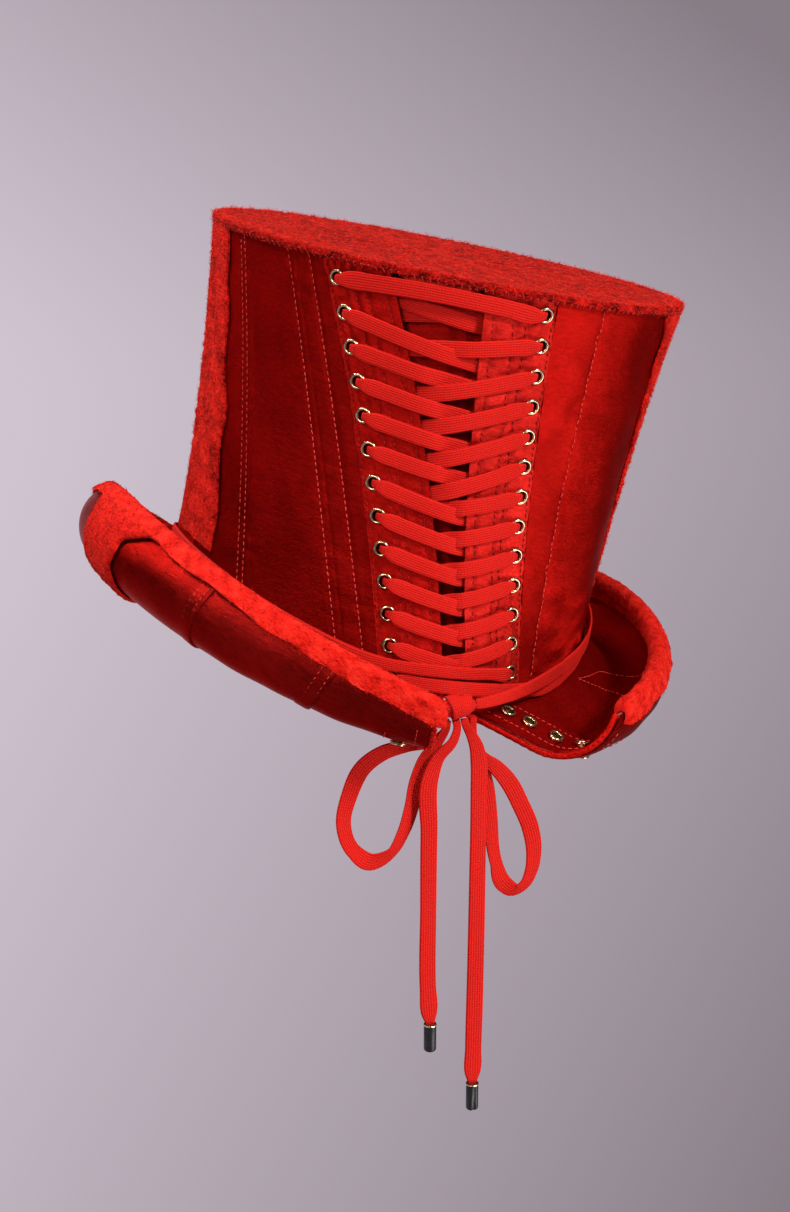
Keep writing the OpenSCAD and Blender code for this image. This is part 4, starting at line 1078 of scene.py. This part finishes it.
wall_piece("tongue_cloth", eyelet_line(-1, 13), eyelet_line(1, 13), foot, under_tip,
           lambda p, z: -tongue_deep(p, z), lambda p, z: -tongue_deep(p, z) - 0.9, SATIN, "tongue", "satin",
           1.2, 3.0, tongue_form, 0.05)
wall_piece("tongue_top", placket_line(-1, 1.5), placket_line(1, 1.5), lambda p: tip_down(p, 10.5),
           lambda p: tip_down(p, 2.0), sloped(-0.4, -TONGUE_OUT + 0.4), sloped(-0.75, -TONGUE_OUT + 0.1),
           TAPE_LIT, None, "satin", 1.2, 12.0, tongue_form, 0.05)
wall_piece("lining_wall", EDGE_R, around(EDGE_L), foot, under_tip, -LINING_OUT, -LINING_IN, LINING,
           "crown_lining", "lining", 3.0, 4.0)
wall_piece("sweatband_strip", eyelet_line(1, 15), around(eyelet_line(-1, 15)), foot,
           lambda p: foot(p) + SWEAT_H, -INNER_OUT, -INNER_OUT - SWEAT_T, LEATHER, "sweatband", "sweatband",
           2.5, 12.0)


def tip_ring(h, d, n, k=1.0):
    a = np.linspace(0, 360, n, endpoint=False)
    w = half_w(tip_z(a) - d) + h
    y = -(w + OVAL / 2) * cosd(a)
    return np.stack([k * w * sind(a), k * y, CROWN_H - d - TIP_RISE * k * y / (TOP_W / 2 + OVAL / 2)], -1)


d = BOARD_TOP + BOARD_T + PLY
v, f = loft_parts(np.array([tip_ring(-LINING_OUT - 0.1, q, 120) for q in (d + LINING_T, d)]))
mesh("lining_tip", v, f, LINING, "lining", "tip_lining", v[:, :2])

# Felt: tip, side strips, brim band, under strips and bindings
nap = Fibres()


def felt_piece(name, parts, uv, tone_and_shade, node_name, mat=FELT):
    v, f = parts
    mesh(name, v, f, mat, "felt", node_name, uv, tone_and_shade * np.ones(len(v)), sharp=80)


TIP_N = 420
SKIRT_END = SKIRT - 0.05
hem = waves(np.cos(turns(TIP_N)) * 95, np.sin(turns(TIP_N)) * 95, 61, 6)
prof = [(TIP_OUT - 0.1, SKIRT_END, 1), (TIP_OUT, 2.2, 1), (TIP_OUT, 1.5, 1), (TIP_OUT - 0.06, 0.95, 1),
        (TIP_OUT - 0.3, 0.45, 1), (TIP_OUT - 0.8, 0.1, 1), (TIP_OUT - 1.6, 0, 1)]
inward = (0.97, 0.94, 0.91, 0.88, 0.85, 0.81, 0.76, 0.7, 0.62, 0.52, 0.4, 0.26, 0.12)
prof += [(TIP_OUT - 1.6, 0, k) for k in inward]
skin = []
for h, d, k in prof:
    q = tip_ring(h, d, TIP_N, k)
    level = np.clip((2.2 - d) / 2.2, 0, 1) if k == 1 else 1.0
    n = unit(unit(q * [1, 1, 0]) * (1 - level) + np.array([0, 0, 1.0]) * level)
    x, y, z = q.T
    q = q + n * (0.22 * waves(x + 3 * z, y, 62, 4.5) + 0.16 * waves(x, y + 2 * z, 63, 2.2))[:, None]
    if d == SKIRT_END:
        q[:, 2] -= np.clip(0.55 * hem, -0.5, 0.6)
    skin.append(q)
v, f = loft_parts(np.array([tip_ring(TIP_IN, d, TIP_N) for d in (FELT_T, SKIRT)] + skin))
# The tip's tone is random and painted 0.1 lower than the other felt's: painted shade
felt_piece("tip_nap", (v, f), v[:, :2] + v[:, 2:], 0.05 * waves(v[:, 0], v[:, 1], 64, 12) - 0.1, "tip_felt")
skin = np.array(skin)
closed = np.concatenate([skin, skin[:, :1]], 1)
nap.on(closed[:8], 1.1, -1, (1.0, 2.6), (5, 30))
nap.on(closed[6:], 0.28, -1, (1.2, 3.0), (5, 26))
nap.on(closed[4:8], 0.5, -1, (1.4, 3.0), (20, 60))


def torn(line, seed, way):
    """A line that wanders as a torn edge does; way 1 draws it out towards the tip."""
    def edge(z):
        w = (0.9 + 0.6 * way) * waves(z, 0, seed, 34) + 0.35 * waves(z, 0, seed + 1, 5)
        w = w + (2.0 + 2.2 * np.exp(-np.clip(CROWN_H - z, 0, 99) / 5.5)) * way
        return line(z) + w / half_w(z) * DEG
    return edge


def felt_thick(u, wide):
    """Thickness of a strip, thinner towards its two edges."""
    return FELT_T * (0.55 + 0.45 * smooth(0, 1.6, np.minimum(u, 1 - u) * wide))


for s, name in SIDES:
    a, b = torn(line_of(STRIP_OUT), 70 + s, 0.0), torn(line_of(STRIP_IN), 75 + s, 1.0)
    edges = (a, b) if s < 0 else (mirrored(b), mirrored(a))
    p, z = wall_grid(*edges, lambda p: foot(p) + 15, lambda p: tip_down(p, SKIRT + PLY - 0.5), 0.9, 1.3)
    h = PLY + felt_thick(steps(len(p))[:, None], 20)
    h = h + 0.2 * waves(p * 1.6, z, 81 + s, 4.5) + 0.16 * waves(p * 1.6, z, 84 + s, 2.2)
    out = crown_pt(p, z, np.maximum(h, PLY + 0.5))
    felt_piece(name + "_strip_nap", shell_parts(out, crown_pt(p, z, PLY)), flat_uv(p / DEG * CROWN_R, z, 2),
               np.tile((0.06 * waves(p, z, 87, 12)).ravel(), 2), name + "_felt_strip")
    nap.on(out, 0.9, 1, (1.2, 3.0), (6, 34))
    for edge in (out[:3], out[-3:]):
        nap.on(edge, 1.6, 1, (1.2, 2.8), (0, 22))

# Band folded over the brim's edge, rounded at its ends; its left end is drawn out to the knot
BAND_N, BAND_STEP, DRAWN, DRAWN_N = 520, 1.75, 3.6, 30
count = np.arange(BAND_N)
ba = brim_angles(BAND_N) + DRAWN * np.clip((count - BAND_N + DRAWN_N) / (DRAWN_N - 1), 0, 1)
bx = ba * BRIM_MM
from_end = np.minimum(count, count[::-1]) * BAND_STEP
close = np.sqrt(np.clip(1 - (1 - np.clip(from_end / 4.5, 0, 1)) ** 2, 0.1, 1))
swell = 1 + 0.25 * bell(from_end - 5, 5)
sect = [-1.0, -0.8, -0.6, -0.4, -0.2]
sect_out = [(x * BAND_W, FELT_OUT) for x in sect]
sect_out += [(FELT_OUT * cosd(k), FELT_OUT * sind(k)) for k in range(90, -91, -18)]
sect_out += [(x * LIP, -FELT_OUT) for x in sect[::-1]]
sect_in = [(-LIP, -FELT_IN), (-LIP / 2, -FELT_IN)]
sect_in += [(FELT_IN * cosd(k), FELT_IN * sind(k)) for k in range(-90, 91, 45)]
sect_in += [(-BAND_W / 2, FELT_IN), (-BAND_W, FELT_IN)]
above = 0.6 * waves(bx, 0, 91, 22) + 0.15 * waves(bx, 0, 92, 4)
below = 0.5 * waves(bx, 0, 93, 26) + 0.12 * waves(bx, 0, 94, 4)
rings = []
for i, (x, h) in enumerate(sect_out + sect_in):
    wide, fray = (BAND_W, above) if h > 0 else (LIP, below)
    r = math.hypot(max(x, 0), h)
    x = x - fray * (x <= -wide * 0.99)
    if i < len(sect_out):
        lump = 1 + (0.24 * waves(bx, i * 2.0, 95, 5) + 0.18 * waves(bx, i * 2.0, 96, 2.4)) / r
        x, h = np.where(x > 0, x * lump, x), h * lump * swell
    x = (x + BAND_W * 0.45) * mix(0.35, 1, close) - BAND_W * 0.45
    rings.append(brim_pt(ba, brim_w(ba) + x, h * mix(0.62, 1, close)))
rings = np.stack(rings, 1)
uv = flat_uv(bx[:, None], (np.arange(rings.shape[1]) * 2.0)[None, :])
# The band's tone is random and painted 0.08 higher than the other felt's: painted light
felt_piece("band_nap", loft_parts(rings), uv, 0.06 * waves(uv[:, 0], uv[:, 1], 97, 9) + 0.08, "brim_felt_band")
outer = rings[:, :len(sect_out)]
nap.on(outer, 0.75, 1, (1.2, 3.2), (6, 36))
nap.on(outer[:, 4:-4], 0.5, 1, (1.4, 3.2), (20, 65))
for e in (outer[:, :2], outer[:, -2:]):
    nap.on(e, 1.4, 1, (1.4, 3.0), (0, 20))

# Strips under the brim at the sides, flared into the band
for s, name in SIDES:
    u, v = steps(30)[:, None], steps(50)[None, :]
    a = mix(-95.0, -80.0, u) if s < 0 else mix(80.0, 95.0, u)
    a = a + 0.7 * (np.abs(u - 0.5) * 2) ** 4 * waves(v * 60, 0, 101 + s, 9) * np.sign(u - 0.5)
    a = a + (u - 0.5) * 14 * np.clip((v - 0.72) / 0.28, 0, 1) ** 2.2
    d = mix(2.4, brim_w(a) - LIP + 0.4, v)
    h = -FELT_IN - felt_thick(u, 40)
    h = h - 0.2 * waves(a * BRIM_MM, d, 103, 4.5) - 0.15 * waves(a * BRIM_MM, d, 104, 2.2)
    out = brim_pt(a, d, np.minimum(h, -FELT_IN - 0.4))
    felt_piece(name + "_under_nap", shell_parts(out, brim_pt(a, d, -FELT_IN)), flat_uv(a * BRIM_MM, d, 2), 0,
               name + "_under_strip")
    nap.on(out, 0.9, -1, (1.2, 3.0), (6, 34))


def binding_line(s, n):
    d = mix(1.5, BACK_W - (BAND_W + 0.5 if s < 0 else 2.0), steps(n) ** 0.75)
    g = (edge_x(d + 0.1, s) - edge_x(d - 0.1, s)) / 0.2
    m = (ROLL_R + 0.1) / np.sqrt(1 + g * g)
    q = d + m * g
    a = LACING + s * split_at(edge_x(d, s) - m, q)
    return brim_pt(a, q * brim_w(a) / BACK_W, 0)


# Bindings of the split: a roll of felt at the left, and of satin at the right
BIND_N, BIND_STEP = 90, 0.8
for s, name in SIDES:
    c, ang = binding_line(s, BIND_N), turns(16)[None, :]
    t = tangents(c)
    u = unit(np.cross(t, [0, 0, 1.0]))
    along = np.arange(BIND_N)[:, None] * BIND_STEP
    r = ROLL_R * (0.97 + 0.05 * waves(along, ang * 2, 111 + s, 5) - 0.07 * np.cos(along * TURN / 3.2 + ang))
    round_it = np.cos(ang)[..., None] * u[:, None] + np.sin(ang)[..., None] * np.cross(u, t)[:, None]
    rings = c[:, None] + r[..., None] * round_it
    felt_piece(name + "_binding_cloth", loft_parts(rings), flat_uv(along, ang * 2), 0, name + "_split_binding",
               FELT if s < 0 else SATIN)
    if s < 0:
        nap.on(np.concatenate([rings, rings[:, :1]], 1), 0.9, 1, (1.0, 2.4), (6, 36))

# Brim: satin above and below, with sewn pleats underneath. A pleat or a seam is its points (a, s).
PLEATS = [((-55.0, 60.5), (-60.0, 20.0)), ((-29.4, 57.5), (-36.0, 20.0)), ((-122, 58), (-118, 20)),
          ((60, 48), (62, 14)), ((135, 50), (133, 14)), ((-152, 50), (-150, 14))]
SEAMS_TOP = [[(46, 3.5), (52, 7), (59.3, 11.4), (66.2, 23.7), (65, 34), (64, 40)],
             [(46, 3.5), (48.4, 8), (51.4, 13.4), (55.5, 23.5), (53, 30), (51, 37)]]
BRIM_TRIM, TUCK = 1.2, -3.0


def brim_grid(nu, nv):
    """Angles and distances over the brim, from under the crown to its edge."""
    f = steps(nv)
    b = np.concatenate([[TUCK], mix(0.4, BACK_W - BRIM_TRIM, f)])
    start, end = split_a(b, 0, 1), 360 - split_a(b, 0, -1)
    a = LACING + mix(start[None, :], end[None, :], steps(nu + 1)[:, None])
    s = mix(0.4, brim_w(a) - BRIM_TRIM, np.concatenate([[0], f])[None, :])
    s[:, 0] = TUCK
    return a, s


def brim_form(a, s):
    x = ((a + 180) % 360 - 180) * BRIM_MM
    return 0.2 * waves(x, s, 121, 26) + 0.14 * waves(x * 0.5, s * 0.3, 122, 9)


def brim_uv(a, s):
    return flat_uv(((a + 180) % 360) * BRIM_MM, s, 2)


brim_pins = {s: [] for s in (-1, 1)}
for s in (-1, 1):
    for d in map(np.float64, BRIM_EYE_S):
        a = LACING + s * split_a(d, BRIM_EYE_OFF, s)
        tilt, n = brim_prof(a, d)[2], brim_out(a)
        brim_pins[s].append((brim_pt(a, d, 0), np.array([-sind(tilt) * n[0], -sind(tilt) * n[1], cosd(tilt)])))
a, s = brim_grid(300, 48)
for name, way, node_name, mat in (("brim_top_satin", 1, "brim_satin", SATIN_IN_SHADED),
                                  ("brim_under_satin", -1, "under_satin", SATIN_UNDER_SHADED)):
    h = BS_OUT + np.clip(brim_form(a, s), -0.4, 0.25) * smooth(0, 6, s)
    v, f = shell_parts(brim_pt(a, s, way * h), brim_pt(a, s, way * BS_IN))
    bore(mesh(name, v, f, mat, "satin", node_name, brim_uv(a, s)), brim_pins[-1] + brim_pins[1])

pleats = Parts()
u, q = np.linspace(-1, 1, 13)[:, None], steps(60)[None, :]
fold = np.clip(1 - np.abs(u) ** 4, 0, 1) ** 0.6 * (0.45 + 0.55 * smooth(-0.7, 0.5, u))
fold = 0.62 * fold * np.sin(np.clip(q * 1.03, 0, 1) * math.pi * 0.97 + 0.05) ** 0.35
for (a0, s0), (a1, s1) in PLEATS:
    a = mix(a0, a1, q) + u * 1.55 + 0.12 * waves(q * 40, 0, 141, 9)
    s = mix(s0, s1, q) + 0 * u
    pleats.add(*shell_parts(brim_pt(a, s, -BS_OUT - 0.12 - fold), brim_pt(a, s, -BS_OUT + 0.1)), brim_uv(a, s))
pleats.make("under_pleats", SATIN_UNDER_SHADED, "satin", sharp=60)


# Eyelets with rolled rims
def eyelet_row(name, node_name, pins, up, low):
    r, e, b = BORE / 2, EYE_D / 2, BARREL_R
    profile = [(r, -0.3), (r, 0.35), (r + 0.1, 0.62), (r + 0.32, 0.83), (r + 0.58, 0.9), (r + 0.85, 0.84),
               (r + 1.08, 0.62), (e, 0.25), (e - 0.1, 0.2), (b, 0.25), (b, -low), (b + 0.4, -low - 0.25),
               (b + 0.3, -low - 0.55), (r, -low - 0.55)]
    rims = Parts()
    for at, ax in pins:
        rims.add(*lathe(profile, 32, at + up * ax, pin_axes(ax)))
    rims.make(name, BRASS, "antique_brass", stands_for=node_name, sharp=60)


for s, name in SIDES:
    eyelet_row(name + "_eyelet_row", name + "_eyelets", crown_pins[s], 0.0, BACKING_IN + 0.6)
    eyelet_row(name + "_brim_eyelet_row", name + "_brim_eyelets", brim_pins[s], BS_OUT + SEAT_UP,
               2 * BS_OUT + SEAT_UP + SEAT_DOWN + 0.45)

# Threads
sewn, quilted = Stitches(), Stitches()


def crown_row(line, into, waver=0.0, lift=0.08, wander=0.0):
    z = mix(foot(line(0.0)) + 1.5, head(line(CROWN_H)) - 2.0, steps(220))
    p = line(z) + wander * waves(z, 0, 131, 11) / half_w(z) * DEG
    into.path(crown_pt(p, z, lift), crown_n(p, z), waver=waver)


def brim_row(a, s, h, period=2.5):
    pts = brim_pt(a, s, h)
    sewn.path(pts, unit(brim_pt(a, s, h + math.copysign(1.0, h)) - pts), period, 1.6, 0.4, 0.05)


for line in LEFT_ROWS:
    crown_row(line, sewn)
crown_row(shift(RIGHT, -1.0), sewn, 0.15, wander=0.5)
for s in (-1, 1):
    for line in quilt_lines(s):
        crown_row(line, quilted, 0.12, -0.1, 0.35)

# Whip stitches along the tip felt's lower border
wa = np.arange(0, 360, 1.75)
wz = tip_z(wa) - SKIRT
wn = unit(np.stack([sind(wa), -cosd(wa), 0 * wa], -1))


def round_tip(a, out, up):
    w = half_w(wz) + out
    return np.stack([w * sind(a), -(w + OVAL / 2) * cosd(a), wz + up], -1)


hi, lo = round_tip(wa, TIP_OUT + 0.15, 1.0), round_tip(wa + 0.5, 0.25, -1.1)
sewn.add((hi + lo) / 2 + wn * 0.3, hi - lo, wn, 2.4, 0.36)

ra = brim_angles(900, 1.0)
brim_row(ra, brim_w(ra) - BAND_W - 1.4, BS_OUT + 0.1)
for side in (-1, 1):
    for off, low, high in ((4.2, 3, 50), (14.8, 1, 42)):
        b = np.linspace(low, high, 160)
        for h in (BS_OUT + 0.1, -BS_OUT - 0.1):
            brim_row(LACING + side * split_a(b, off, side), b, h)
q = steps(60)
for (a0, s0), (a1, s1) in PLEATS:
    for beside, proud in ((-0.95, 0.15), (0.75, 0.45)):
        brim_row(mix(a0, a1, q) + beside, mix(s0, s1, q), -BS_OUT - proud)
for pts in SEAMS_TOP:
    q = spline([[*p, 0] for p in pts], 0.8)
    brim_row(q[:, 0], q[:, 1], BS_OUT + 0.12, 2.3)
sewn.make("sewing_thread", THREAD, "satin")
quilted.make("quilting_thread", THREAD_SHADED, "satin")
nap.make("felt_fibres", FELT, "felt")

# CAD pieces that keep their shape
KEPT = {"foundation": BUCKRAM, "board": BUCKRAM, "bone": STEEL, "wire": STEEL, "washers": BRASS}
for name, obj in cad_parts.items():
    mat = KEPT.get(name.split("_")[-1])
    if mat:
        obj.data.materials.clear()
        obj.data.materials.append(mat)
